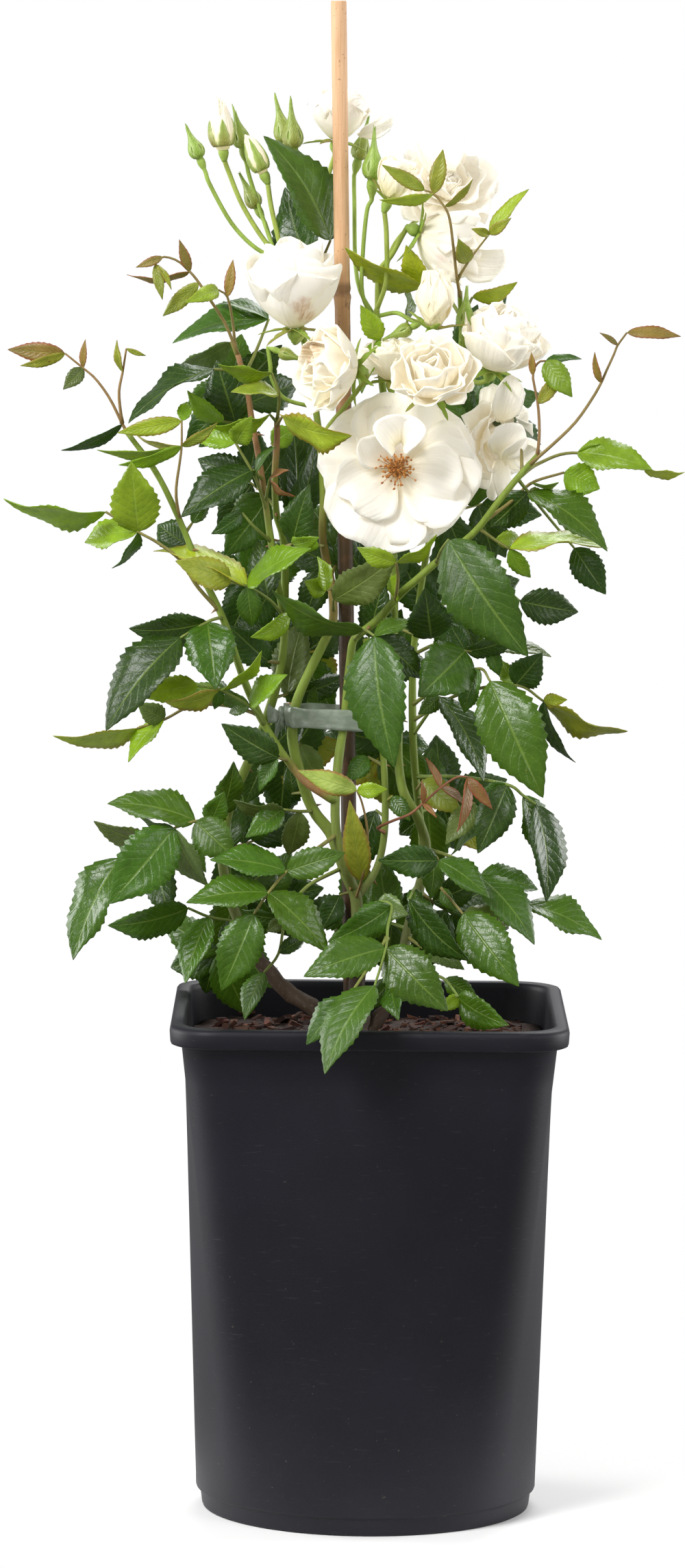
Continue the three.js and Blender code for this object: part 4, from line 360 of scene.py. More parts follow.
def curveThrough(points, steps):
    last = len(points) - 1
    places = []
    for i in range(steps + 1):
        at = last * i / steps
        k = min(int(at), last - 1)
        w = at - k
        p1, p2 = points[k], points[k + 1]
        p0 = points[k - 1] if k > 0 else p1 * 2 - p2
        p3 = points[k + 2] if k + 2 <= last else p2 * 2 - p1
        t1, t2 = (p2 - p0) * 0.5, (p3 - p1) * 0.5
        bend = (p2 - p1) * 3 - t1 * 2 - t2
        places.append(p1 + t1 * w + bend * w ** 2 + ((p1 - p2) * 2 + t1 + t2) * w ** 3)
    return places


def stepsAlong(points, each):
    return round(sum((b - a).length for a, b in zip(points, points[1:])) / each)


def mixed(a, b, share):
    return tuple(x + (y - x) * share for x, y in zip(a, b))


def eased(low, high, value):
    share = min(1, max(0, (value - low) / (high - low)))
    return share * share * (3 - 2 * share)


# A mesh in the making: a bmesh with a UV map along its sheets, a tint and a mark for each vertex
class Making:
    def __init__(self):
        self.bm = bmesh.new()
        self.along = self.bm.loops.layers.uv.new("along")
        self.tint = self.bm.verts.layers.float_color.new("tint")
        self.mark = self.bm.verts.layers.float_color.new("mark")


# A grid moved into place: place(u, v) with u from -1 to 1 across and v from 0 to 1 along
def addSheet(making, columns, rows, place, tint, mark=(0, 0, 0), joined=False):
    bm = making.bm
    verts = bmesh.ops.create_grid(bm, x_segments=columns, y_segments=rows, size=1)["verts"]
    spots = {vert: (vert.co.x, (vert.co.y + 1) / 2) for vert in verts}
    for face in {face for vert in verts for face in vert.link_faces}:
        face.smooth = True
        for loop in face.loops:
            u, v = spots[loop.vert]
            loop[making.along].uv = ((u + 1) / 2, v)
    for vert, (u, v) in spots.items():
        vert.co = place(u, v)
        vert[making.tint] = (*(tint(u, v) if callable(tint) else tint), 1)
        vert[making.mark] = (*mark, 1)
    if joined:
        bmesh.ops.remove_doubles(bm, verts=verts, dist=0.012)


# A rod through ring centres, closed at both ends by a small dome
def addRod(making, rings, radii, sides, tint, mark=(0, 0, 0), rough=0.0):
    last = len(rings) - 1
    tangents = [(rings[min(k + 1, last)] - rings[max(k - 1, 0)]).normalized() for k in range(last + 1)]
    up = tangents[0].orthogonal().normalized()
    frames = []
    for tangent in tangents:
        up = (up - tangent * up.dot(tangent)).normalized()
        frames.append((up.cross(tangent), up))
    centres = [rings[0] - tangents[0] * radii[0] * 0.4, *rings, rings[-1] + tangents[-1] * radii[-1] * 0.4]
    sizes = [0.002, *radii, 0.002]
    frames = [frames[0], *frames, frames[-1]]

    def place(u, v):
        k = round(v * (last + 2))
        side, lift = frames[k]
        spoke = side * math.cos(math.pi * u) + lift * math.sin(math.pi * u)
        size = sizes[k]
        if rough:
            size *= 1 + rough * noise.noise((centres[k] + spoke * size) * 0.16)
        return centres[k] + spoke * size

    shade = (lambda u, v: tint(v)) if callable(tint) else tint
    addSheet(making, sides, last + 2, place, shade, mark, joined=True)


def finishPiece(making, name, node, slot, materials, thickness=0.0):
    bmesh.ops.scale(making.bm, vec=(0.001, 0.001, 0.001), verts=making.bm.verts)  # millimetres to metres
    mesh = bpy.data.meshes.new(name)
    making.bm.to_mesh(mesh)
    making.bm.free()
    piece = bpy.data.objects.new(name, mesh)
    bpy.context.scene.collection.objects.link(piece)
    for material in materials:
        mesh.materials.append(material)
    if thickness:
        wall = piece.modifiers.new("thickness", "SOLIDIFY")
        wall.thickness = thickness / 1000
        wall.offset = 0
        wall.material_offset = len(materials) - 1
    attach(piece, "root")
    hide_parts(node)
    return piece


# Shader maths: an output socket that adds nodes when Python's operators are used on it
class Wire:
    def __init__(self, paint, socket):
        self.paint = paint
        self.socket = socket

    def of(self, name):
        return Wire(self.paint, self.socket.node.outputs[name])

    def maths(self, operation, *others):
        return self.paint.node("ShaderNodeMath", {"operation": operation}, dict(enumerate([self, *others])))

    def __add__(self, other):
        return self.maths("ADD", other)

    def __radd__(self, other):
        return self.maths("ADD", other)

    def __sub__(self, other):
        return self.maths("SUBTRACT", other)

    def __rsub__(self, other):
        return self.paint.node("ShaderNodeMath", {"operation": "SUBTRACT"}, {0: other, 1: self})

    def __mul__(self, other):
        return self.maths("MULTIPLY", other)

    def __rmul__(self, other):
        return self.maths("MULTIPLY", other)

    def between(self, low, high):
        settings = {"interpolation_type": "SMOOTHSTEP", "clamp": True}
        inputs = {"Value": self, "From Min": low, "From Max": high}
        return self.paint.node("ShaderNodeMapRange", settings, inputs)


# A material in the making
class Paint:
    def __init__(self, name):
        self.material = bpy.data.materials.new(name)
        self.material.use_nodes = True
        self.tree = self.material.node_tree
        self.shader = self.tree.nodes["Principled BSDF"]

    def node(self, kind, settings=None, inputs=None, out=0):
        made = self.tree.nodes.new(kind)
        for key, value in (settings or {}).items():
            if key == "stops":
                ramp = made.color_ramp
                while len(ramp.elements) < len(value):
                    ramp.elements.new(0.5)
                for element, (place, colour) in zip(ramp.elements, value):
                    element.position = place
                    element.color = (*colour, 1)
            else:
                setattr(made, key, value)
        for key, value in (inputs or {}).items():
            self.feed(made.inputs[key], value)
        return Wire(self, made.outputs[out])

    def feed(self, socket, value):
        if isinstance(value, Wire):
            self.tree.links.new(value.socket, socket)
        elif socket.type == "RGBA" and len(value) == 3:
            socket.default_value = (*value, 1)
        else:
            socket.default_value = value

    def mix(self, share, a, b, blend="MIX"):
        settings = {"data_type": "RGBA", "blend_type": blend}
        return self.node("ShaderNodeMix", settings, {0: share, 6: a, 7: b}, out=2)

    def place(self):
        return self.node("ShaderNodeTexCoord").of("Object")

    def along(self):
        return self.node("ShaderNodeTexCoord").of("UV")

    def tint(self):
        return self.attribute("tint").of("Color")

    def stretched(self, place, scale):
        return self.node("ShaderNodeVectorMath", {"operation": "MULTIPLY"}, {0: place, 1: scale})

    def grain(self, place, scale, detail=4, roughness=0.55):
        inputs = {"Vector": place, "Scale": scale, "Detail": detail, "Roughness": roughness}
        return self.node("ShaderNodeTexNoise", None, inputs)

    def split(self, vector):
        return self.node("ShaderNodeSeparateXYZ", None, {0: vector})

    def attribute(self, name):
        return self.node("ShaderNodeAttribute", {"attribute_name": name})

    def finish(self, bump=None, strength=0.3, distance=0.0006, specular=0.5, **sockets):
        self.shader.inputs["Specular IOR Level"].default_value = specular
        if bump is not None:
            inputs = {"Height": bump, "Strength": strength, "Distance": distance}
            self.feed(self.shader.inputs["Normal"], self.node("ShaderNodeBump", None, inputs))
        for name, value in sockets.items():
            words = "".join(f" {c}" if c.isupper() else c for c in name).strip()
            self.feed(self.shader.inputs[words[0].upper() + words[1:]], value)
        return self.material


# The meshes of wood, leaves and petals in the making, by node
woods, greens, petals = {}, {}, {}


def makingOf(kind, node):
    if node not in kind:
        kind[node] = Making()
    return kind[node]


# Middle lines of each node's rods, as the solids keep them, so that stalks start in the same places
spines = {}


def remember(node, points):
    spines[node] = spines.get(node, []) + curveThrough(points, len(points) * 8)


# The nearest place on the rods that a node has so far
def snapped(point, node):
    return min(spines.get(node, [point]), key=lambda place: (place - point).length).copy()


vertexTrees = {}


# How far a place is from the nearest vertex of a solid, in millimetres
def nearSolid(node, point):
    if node not in vertexTrees:
        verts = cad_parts[node].data.vertices
        tree = kdtree.KDTree(len(verts))
        for vert in verts:
            tree.insert(vert.co * 1000, vert.index)
        tree.balance()
        vertexTrees[node] = tree
    return vertexTrees[node].find(point)[2]


# Radii of stalks, prickles on each rod of a node, and the colours of the wood
cane = {
    "leafStalk": (1.15, 0.7),
    "youngStalk": (0.95, 0.55),
    "flowerStalk": 1.35,
    "prickleLength": (3.0, 5.0),
    "prickles": {
        "stem_middle": 4, "stem_left_back": 4, "stem_centre": 4, "stem_right": 3, "stem_left_long": 3,
        "stem_tall_right": 3, "rose_crown": 2,
    },
    "bark": (0.062, 0.040, 0.026),
    "green": (0.210, 0.295, 0.040),
    "old": (0.120, 0.135, 0.042),
    "red": (0.310, 0.130, 0.070),
    "stalk": (0.190, 0.275, 0.055),
    "worn": (0.55, 0.5, 0.42),
    "lichen": (0.24, 0.20, 0.12),
    "specular": 0.26,
}


def caneMaterial(name, grainScale):
    paint = Paint(name)
    place = paint.place()
    streak = paint.grain(paint.stretched(place, (1, 1, 0.12)), grainScale, 4)
    spots = paint.grain(place, 700, 2)
    colour = paint.mix(streak.between(0.35, 0.7) * 0.45, paint.tint(), cane["worn"], "MULTIPLY")
    colour = paint.mix(spots.between(0.60, 0.72) * 0.35, colour, cane["lichen"])
    return paint.finish(
        streak + spots * 0.4, 0.5, 0.0008, cane["specular"], baseColor=colour, roughness=0.46 + streak * 0.25,
    )


def caneTint(node, start, end):
    if node == "rose_crown":
        return lambda v: cane["bark"]

    # Three of the stems are reddened for part of their height
    def tint(v):
        height = start.z + (end.z - start.z) * v
        colour = mixed(cane["old"], cane["green"], eased(300, 460, height))
        if node == "stem_left_back":
            colour = mixed(colour, cane["red"], eased(540, 590, height) * 0.85)
        if node == "stem_left_long":
            colour = mixed(colour, cane["red"], (1 - eased(6, 20, abs(height - 440))) * 0.8)
        if node == "stem_centre":
            colour = mixed(colour, cane["red"], (1 - eased(10, 50, abs(height - 560))) * 0.6)
        return mixed(colour, flower["stalk"], 0.7) if node.startswith("truss") else colour

    return tint


def addPrickles(node, points, first, last, count, chance):
    steps = 60
    rings = curveThrough(points, steps)
    tint = mixed(cane["green"], cane["red"], 0.8)
    for _ in range(count):
        k = chance.randint(6, steps - 6)
        tangent = (rings[k + 1] - rings[k - 1]).normalized()
        turn = Matrix.Rotation(chance.uniform(0, 2 * math.pi), 3, tangent)
        spoke = turn @ tangent.orthogonal().normalized()
        long = chance.uniform(*cane["prickleLength"])
        foot = rings[k] + spoke * (first + (last - first) * k / steps) * 0.7
        tip = foot + spoke * long - tangent * long * 0.25
        middle = foot.lerp(tip, 0.4) + tangent * 0.2
        addRod(makingOf(woods, node), [foot, middle, tip], [1.1, 0.6, 0.12], 6, tint)


def buildStems():
    chance = random.Random(5)
    for node, parent, first, last, readings in stems:
        points = [seen(reading) for reading in readings]
        if parent or node in spines:
            points[0] = snapped(points[0], parent or node)
        steps = max(12, stepsAlong(points, 4.5))
        rings = curveThrough(points, steps)
        radii = []
        for k in range(steps + 1):
            swell = 1 + 0.10 * noise.noise(rings[k] * 0.05)
            radii.append((first + (last - first) * k / steps) * swell)
        rough = 0.35 if node == "rose_crown" else 0.05
        tint = caneTint(node, points[0], points[-1])
        addRod(makingOf(woods, node), rings, radii, 12, tint, rough=rough)
        remember(node, points)
        addPrickles(node, points, first, last, cane["prickles"].get(node, 0), chance)


# Leaflets: widths and lifts as shares of a length, millimetres, and the colours of their skin
leaf = {
    "trueWidth": 0.5,
    "youngWidth": 0.26,
    "fold": 0.22,
    "arch": 0.08,
    "outward": 0.5,
    "depthLimit": 26,
    "bends": (0, -7, 7, -14, 14, -21, 21, -28, 28),
    "looseFrom": 5,
    "thickness": 0.35,
    "toothOut": 0.065,
    "toothIn": 0.05,
    "wave": 0.17,
    "columns": 4,
    "firstBack": 78,
    "pairLength": (30, 42),
    "pairWidth": 0.56,
    "pairTints": "ddm",
    "specular": 0.40,
    "specularUnder": 0.18,
    # glow: painted light, an emission in the leaf's own colour that stands in for light shining through the
    # thin leaves
    "glow": 0.17,
    "glowTint": (1.0, 0.92, 0.5),
    "mottle": (0.62, 0.68, 0.55),
    "pale": (0.16, 0.25, 0.02),
    "under": (0.20, 0.27, 0.07),
    "vein": (0.26, 0.38, 0.07),
    "rust": (0.22, 0.17, 0.05),
    "redEdge": (0.26, 0.055, 0.03),
    "variegated": (0.40, 0.50, 0.12),
}

# Dark, middle, bright, olive, grey, yellow, red, umber and variegated leaflets
tints = {
    "d": (0.018, 0.052, 0.005),
    "m": (0.042, 0.104, 0.006),
    "b": (0.180, 0.300, 0.012),
    "o": (0.235, 0.275, 0.028),
    "g": (0.095, 0.145, 0.040),
    "y": (0.275, 0.370, 0.020),
    "r": (0.245, 0.115, 0.044),
    "u": (0.250, 0.175, 0.042),
    "v": (0.260, 0.340, 0.050),
}


def leafMaterial(name, under):
    paint = Paint(name)
    at = paint.split(paint.along())
    across = (at.of("X") * 2 - 1).maths("ABSOLUTE")
    place = paint.place()
    cloud = paint.grain(place, 160, 3)
    fine = paint.grain(place, 900, 3)
    blister = paint.grain(place, 420, 2)
    rib = 1 - across.between(0.01, 0.075)
    wave = (at.of("Y") * 9.5 - across * 2.4 + cloud * 0.45).maths("PINGPONG", 0.5)
    vein = (1 - wave.between(0.0, 0.10)) * (1 - across.between(0.80, 1.0))
    lines = rib.maths("MAXIMUM", vein * 0.32)
    marks = paint.split(paint.attribute("mark").of("Vector"))
    colour = paint.mix(cloud.between(0.30, 0.72) * 0.7, paint.tint(), leaf["mottle"], "MULTIPLY")
    colour = paint.mix(fine.between(0.35, 0.75) * 0.10, colour, leaf["pale"])
    if under:
        colour = paint.mix(0.22, colour, leaf["under"])
    colour = paint.mix(lines * 0.26, colour, leaf["vein"])
    rust = blister.between(0.70, 0.78) * cloud.between(0.5, 0.7) * 0.5
    colour = paint.mix(rust, colour, leaf["rust"])
    colour = paint.mix(across.between(0.68, 1.0) * marks.of("Y"), colour, leaf["redEdge"])
    hollow = wave.between(0.0, 0.45) * (1 - across * across)
    bump = fine * 0.2 + blister * 0.6 + cloud * 0.6 + hollow * 0.16 - lines * 0.5
    rough = 0.62 + fine * 0.10 if under else 0.40 - marks.of("X") * 0.20 + fine * 0.10
    # Painted light: the leaf glows in its own colour, as if lit through from behind
    glow = paint.mix(1.0, colour, leaf["glowTint"], "MULTIPLY")
    return paint.finish(
        bump, 0.6, 0.0008, leaf["specularUnder" if under else "specular"], baseColor=colour, roughness=rough,
        emissionColor=glow, emissionStrength=leaf["glow"],
    )


# Where a leaflet lies: its outline is seen as wide as the reading says, so a narrow one is turned away
def leafletForm(base, tip, seenWidth, young, lean):
    axis = tip - base
    length = axis.length
    axis.normalize()
    width = max(abs(seenWidth), (leaf["youngWidth"] if young else leaf["trueWidth"]) * length)
    turn = lean * math.acos(min(1, abs(seenWidth) / width))
    view = Vector((0, -1, 0))
    facing = (view - axis * view.dot(axis)).normalized()
    side = axis.cross(facing)
    front = facing * math.cos(turn) + side * math.sin(turn)
    rows = 4 if length > 56 else 3 if length > 38 else 2
    return {
        "base": base, "axis": axis, "front": front, "across": axis.cross(front), "length": length,
        "width": width, "rows": rows,
    }


def leafletHalf(form, v):
    return form["width"] / 2 * max(0, math.sin(math.pi * v ** 0.78)) ** 0.85


def leafletPlace(form, u, v):
    half = leafletHalf(form, v)
    rise = leaf["arch"] * form["length"] * 4 * v * (1 - v) + leaf["fold"] * abs(u) * half
    return leafletPoint(form, u * half, v, rise)


def leafletPoint(form, aside, v, rise):
    return form["base"] + form["axis"] * v * form["length"] + form["across"] * aside + form["front"] * rise


# The bend and lean that the solid leaflet has: the one whose tip and widest points lie on the solid
def solidForm(node, base, tips, width, young, lean):
    best, score = None, 1e9
    for tip in tips:
        for side in (lean, -lean):
            form = leafletForm(base, tip, width, young, side)
            share = 1 / form["rows"]
            spots = [leafletPlace(form, *at) for at in ((0, 1), (-1, share), (1, share))]
            miss = sum(nearSolid(node, spot) for spot in spots)
            if miss < score - 0.05:
                best, score = form, miss
    return best if score <= leaf["looseFrom"] else leafletForm(base, tips[0], width, young, lean)


def addLeaflet(making, form, letter, young, chance):
    length = form["length"]
    rows = 26 if length > 42 else 20 if length > 24 else 14
    tooth = 0.7 if young else 1.0
    phase = chance.uniform(0, 6.3)
    wave = leaf["wave"] * chance.uniform(0.4, 1.3)
    droop = chance.uniform(-0.02, 0.05) * length
    twist = chance.uniform(-0.12, 0.12)
    slant = chance.uniform(0.90, 1.0)

    def place(u, v):
        if abs(u) > 0.99 and 0.1 < v < 0.97:
            sharp = round(v * rows) % 2 == 1
            u *= 1 + (leaf["toothOut"] if sharp else -leaf["toothIn"]) * tooth
            v = min(1, v + (0.35 if sharp else 0) / rows)
        half = leafletHalf(form, v) * (1 - 0.16 * eased(0.62, 0.92, v))
        ripple = math.sin(v * 9.5 + phase + (1.6 if u > 0 else 0)) * wave * half * u * u
        lift = leaf["arch"] * length * 4 * v * (1 - v) * slant + leaf["fold"] * abs(u) * half + ripple
        lift += u * half * twist * v - droop * v * v * v
        return leafletPoint(form, u * half, v, lift)

    light, warm = chance.uniform(0.80, 1.22), chance.uniform(0.90, 1.14)
    red, green, blue = tints[letter]
    tone = (red * light * warm, green * light, blue * light / warm)
    gloss = chance.uniform(0.35, 1.0) if letter in "dmbg" else chance.uniform(0.1, 0.5)
    edge = 0.0
    if letter in "ruvoy":
        edge = chance.uniform(0.5, 0.9) if letter in "ruv" else chance.uniform(0.1, 0.5)
    shade = (lambda u, v: mixed(leaf["variegated"], tone, abs(u))) if letter == "v" else tone
    addSheet(making, leaf["columns"], rows, place, shade, (gloss, edge, chance.random()))


def addLeaf(node, parent, stalk, leaflets, letters, order, young):
    chance = random.Random(1000 * young + order)
    rootDepth = stalk[0][2]

    def outward(across, up, depth):
        away = max(-leaf["depthLimit"], min(leaf["depthLimit"], depth - rootDepth))
        return seen((across, up, depth + leaf["outward"] * away))

    points = [outward(*reading) for reading in stalk]
    points[0] = snapped(points[0], node if node in spines else parent)
    steps = max(6, stepsAlong(points, 4))
    thick, thin = cane["youngStalk" if young else "leafStalk"]
    radii = [thick + (thin - thick) * k / steps for k in range(steps + 1)]
    radii[0] *= 1.5
    blush = 1
    if not (young and letters[0] == "r"):
        blush = chance.uniform(0.35, 0.8) if young else chance.uniform(0, 0.5)
    colour = mixed(cane["stalk"], cane["red"], blush)
    addRod(makingOf(woods, node), curveThrough(points, steps), radii, 6, colour)
    for k, (at, across, up, depth, width) in enumerate(leaflets):
        tips = [outward(across, up, depth + bend) for bend in leaf["bends"]]
        lean = 1 if (order + k) % 2 else -1
        form = solidForm(node, points[at], tips, width, young, lean)
        addLeaflet(makingOf(greens, node), form, letters[k], young, chance)
    if not young and order >= leaf["firstBack"]:
        addPairs(node, points, chance)
    remember(node, points)


# The pairs of leaflets along the stalk of a leaf behind the stems, which the solids leave out
def addPairs(node, points, chance):
    for before, at in zip(points, points[1:]):
        along = (at - before).normalized()
        aside = along.cross(Vector((0, -1, 0))).normalized()
        for way in (-1, 1):
            long = chance.uniform(*leaf["pairLength"])
            foot = before.lerp(at, chance.uniform(0.55, 0.9))
            reach = along * chance.uniform(0.1, 0.5) + aside * way
            reach += Vector((0, chance.uniform(-0.3, 0.3), -0.25))
            form = leafletForm(foot, foot + reach.normalized() * long, long * leaf["pairWidth"], False, way)
            addLeaflet(makingOf(greens, node), form, chance.choice(leaf["pairTints"]), False, chance)


# Young leaves come first; a row's number seeds its leaf and picks the side it leans to
def buildLeaves():
    for order, row in enumerate(shoots):
        addLeaf(*row, order, True)
    rows = [(node, "", *row) for node, group in leaves for row in group]
    for order, row in enumerate(rows):
        addLeaf(*row, order, False)


# Thickness in millimetres; a stain is its centre in metres, size, colour and strength
petal = {
    "thickness": 0.5,
    "columns": 12,
    "rows": 12,
    "white": (0.94, 0.905, 0.82),
    "whiteHeart": (0.92, 0.86, 0.66),
    "creamHeart": (0.88, 0.84, 0.50),
    "vein": (0.86, 0.80, 0.66),
    "cloud": (0.90, 0.83, 0.68),
    # crease: a darker colour painted into the folds of the petals as shade
    "crease": (0.80, 0.755, 0.66),
    # glow: painted light, a warm emission that lifts the petals' shade as if light shone through them
    "glow": 0.11,
    "glowTint": (1.0, 0.93, 0.80),
    "subsurface": 0.22,
    "subsurfaceRadius": (0.006, 0.005, 0.0035),
    "stains": [
        ((-0.039, -0.013, 0.672), 0.010, (0.50, 0.23, 0.08), 0.95),
        ((-0.037, -0.014, 0.652), 0.010, (0.46, 0.27, 0.10), 0.9),
        ((-0.046, -0.018, 0.627), 0.006, (0.42, 0.24, 0.10), 0.8),
        ((0.036, 0.0, 0.703), 0.005, (0.72, 0.35, 0.30), 0.6),
    ],
}

# Petal layers from the outside in: petals, length share, angle from the axis at the foot and at the tip,
# width share, how far a petal wraps round, ruffle, how far its rim rolls back
layers = {
    "tulip": [(3, 1.0, 33, -20, 0.98, 1.0, 0.03, 0.05), (3, 1.02, 27, -20, 0.94, 1.0, 0.03, 0.02),
        (3, 1.0, 19, -17, 0.84, 1.0, 0.03, 0.0), (3, 0.97, 11, -12, 0.64, 1.1, 0.02, 0.0)],
    "small": [(5, 1.0, 60, 2, 1.10, 0.9, 0.05, 0.12), (4, 0.98, 46, -8, 1.02, 1.0, 0.05, 0.05),
        (4, 0.94, 32, -14, 0.90, 1.0, 0.05, 0.02), (3, 0.88, 16, -14, 0.70, 1.1, 0.04, 0.0)],
    "cup": [(5, 0.87, 76, -9, 1.14, 0.95, 0.06, 0.13), (4, 0.95, 68, -17, 1.12, 0.95, 0.06, 0.10),
        (4, 1.02, 58, -23, 1.04, 1.0, 0.06, 0.06), (4, 1.06, 47, -27, 0.96, 1.0, 0.06, 0.03),
        (3, 1.06, 35, -28, 0.90, 1.0, 0.05, 0.0), (3, 1.02, 23, -24, 0.74, 1.1, 0.05, 0.0),
        (3, 0.96, 11, -13, 0.56, 1.2, 0.04, 0.0)],
    "loose": [(5, 0.92, 80, 8, 1.30, 0.80, 0.08, 0.14), (4, 0.97, 68, -4, 1.30, 0.85, 0.09, 0.08),
        (4, 0.98, 54, -14, 1.14, 0.9, 0.08, 0.03), (3, 0.94, 38, -20, 1.02, 1.0, 0.06, 0.0),
        (3, 0.84, 20, -18, 0.74, 1.1, 0.05, 0.0)],
    "barrel": [(4, 0.93, 66, -10, 1.62, 0.95, 0.05, 0.12), (4, 0.98, 58, -16, 1.50, 0.95, 0.05, 0.10),
        (4, 1.0, 50, -20, 1.36, 1.0, 0.06, 0.08), (3, 1.02, 40, -22, 1.20, 1.0, 0.06, 0.03),
        (3, 1.0, 28, -22, 0.94, 1.1, 0.05, 0.0), (3, 0.95, 14, -14, 0.64, 1.2, 0.04, 0.0)],
    "full": [(6, 1.0, 84, 62, 1.10, 0.6, 0.08, 0.14), (5, 0.96, 70, 42, 1.12, 0.7, 0.08, 0.12),
        (5, 0.90, 55, 20, 1.00, 0.8, 0.08, 0.07), (4, 0.84, 40, 0, 0.92, 0.9, 0.07, 0.03),
        (4, 0.78, 25, -14, 0.76, 1.0, 0.05, 0.0), (3, 0.72, 10, -12, 0.54, 1.1, 0.04, 0.0)],
    "open": [(4, 1.08, 84, 94, 1.50, 0.24, 0.10, 0.04), (4, 0.99, 77, 88, 1.42, 0.28, 0.11, 0.05),
        (3, 0.88, 66, 77, 1.24, 0.4, 0.12, 0.05), (1, 0.66, 52, 44, 1.30, 0.7, 0.12, 0.02)],
}

# Millimetres, degrees, and shares of a petal's length
bloomShape = {
    "footRadius": 3.4,
    "hipDepth": 8,
    "jitterTurn": 9,
    "jitterAngle": 4,
    "round": 0.26,
    "notch": 0.035,
    "frill": 0.018,
    "sepalSweep": {"tulip": 62, "small": 84, "cup": 96, "full": 100, "open": 100},
}

# Half widths along a bud, at shares of its length: a closed green one, and one that shows its petals
budSwell = [
    (-0.34, 1.3), (-0.27, 2.0), (-0.17, 2.7), (-0.08, 2.7), (-0.02, 2.3), (0.03, 3.3), (0.10, 4.5),
    (0.19, 5.0), (0.29, 4.7), (0.39, 3.7), (0.49, 2.5), (0.59, 1.55), (0.72, 0.85), (0.86, 0.5), (1.0, 0.25),
]
showingSwell = [
    (-0.05, 3.0), (0.0, 3.6), (0.08, 5.2), (0.2, 6.2), (0.34, 6.4), (0.5, 5.9), (0.66, 4.8), (0.82, 3.4),
    (0.93, 2.2), (1.0, 0.9),
]

# Colours of stalks, hips and sepals, and the shape of the buds
flower = {
    "stalk": (0.350, 0.440, 0.085),
    "hip": (0.310, 0.440, 0.080),
    "sepal": (0.270, 0.410, 0.065),
    "sepalEdge": (0.50, 0.58, 0.26),
    "cream": (1.0, 0.95, 0.78),
    "belly": 1.12,
    "tall": 0.90,
    "budLength": 27,
    "reach": {"bud_white": 0.60, "bud_yellow": 0.88},
    "blush": {"bud_white": 0.75, "bud_yellow": 0.35},
}


def petalMaterial(name, heart):
    paint = Paint(name)
    along = paint.along()
    place = paint.place()
    cloud = paint.grain(place, 90, 3)
    veins = paint.grain(paint.stretched(along, (34, 2.2, 1)), 1, 3)
    crease = paint.grain(paint.stretched(along, (6, 0.7, 1)), 1, 2)
    colour = paint.mix(paint.split(along).of("Y").between(0.0, 0.62), heart, petal["white"])
    colour = paint.mix(veins.between(0.35, 0.7) * 0.10, colour, petal["vein"])
    colour = paint.mix(cloud.between(0.45, 0.75) * 0.10, colour, petal["cloud"])
    # Painted shade: the folds are darkened towards the crease colour
    colour = paint.mix(crease.between(0.52, 0.72) * 0.16, colour, petal["crease"])
    flat = paint.stretched(place, (1, 0.3, 1))
    for centre, size, tone, power in petal["stains"]:
        gap = paint.node("ShaderNodeVectorMath", {"operation": "DISTANCE"}, {0: flat, 1: centre}, out="Value")
        patch = 1 - (gap + (cloud - 0.5) * size * 1.6).between(size * 0.25, size)
        colour = paint.mix(patch * veins.between(0.25, 0.6) * power, colour, tone)
    colour = paint.mix(1.0, colour, paint.tint(), "MULTIPLY")
    # Painted light: the petals glow warm in their own colour, as if lit through
    glow = paint.mix(1.0, colour, petal["glowTint"], "MULTIPLY")
    return paint.finish(
        veins * 0.5 + cloud - crease * 2.6, 0.5, 0.0010, baseColor=colour, roughness=0.50 + veins * 0.14,
        subsurfaceWeight=petal["subsurface"], subsurfaceRadius=petal["subsurfaceRadius"], subsurfaceScale=1.0,
        emissionColor=glow, emissionStrength=petal["glow"],
    )


# Where a bloom sits: its base, its axis and two directions across it
def bloomFrame(bloom):
    base = seen(bloom["base"])
    axis = (seen(bloom["top"]) - base).normalized()
    across = Vector((0, 0, 1)) if abs(axis.y) > 0.85 else Vector((0, 1, 0))
    lift = (across - axis * across.dot(axis)).normalized()
    side = axis.cross(lift)
    return base, axis, side, axis.cross(side)


# How far out and up an evenly bent strip has come at a share of its length, and its angle there
def curl(start, length, foot, tip, share):
    turnBy = tip - foot
    angle = foot + turnBy * share
    out = start + length * (math.cos(foot) - math.cos(angle)) / turnBy
    return out, length * (math.sin(angle) - math.sin(foot)) / turnBy, angle


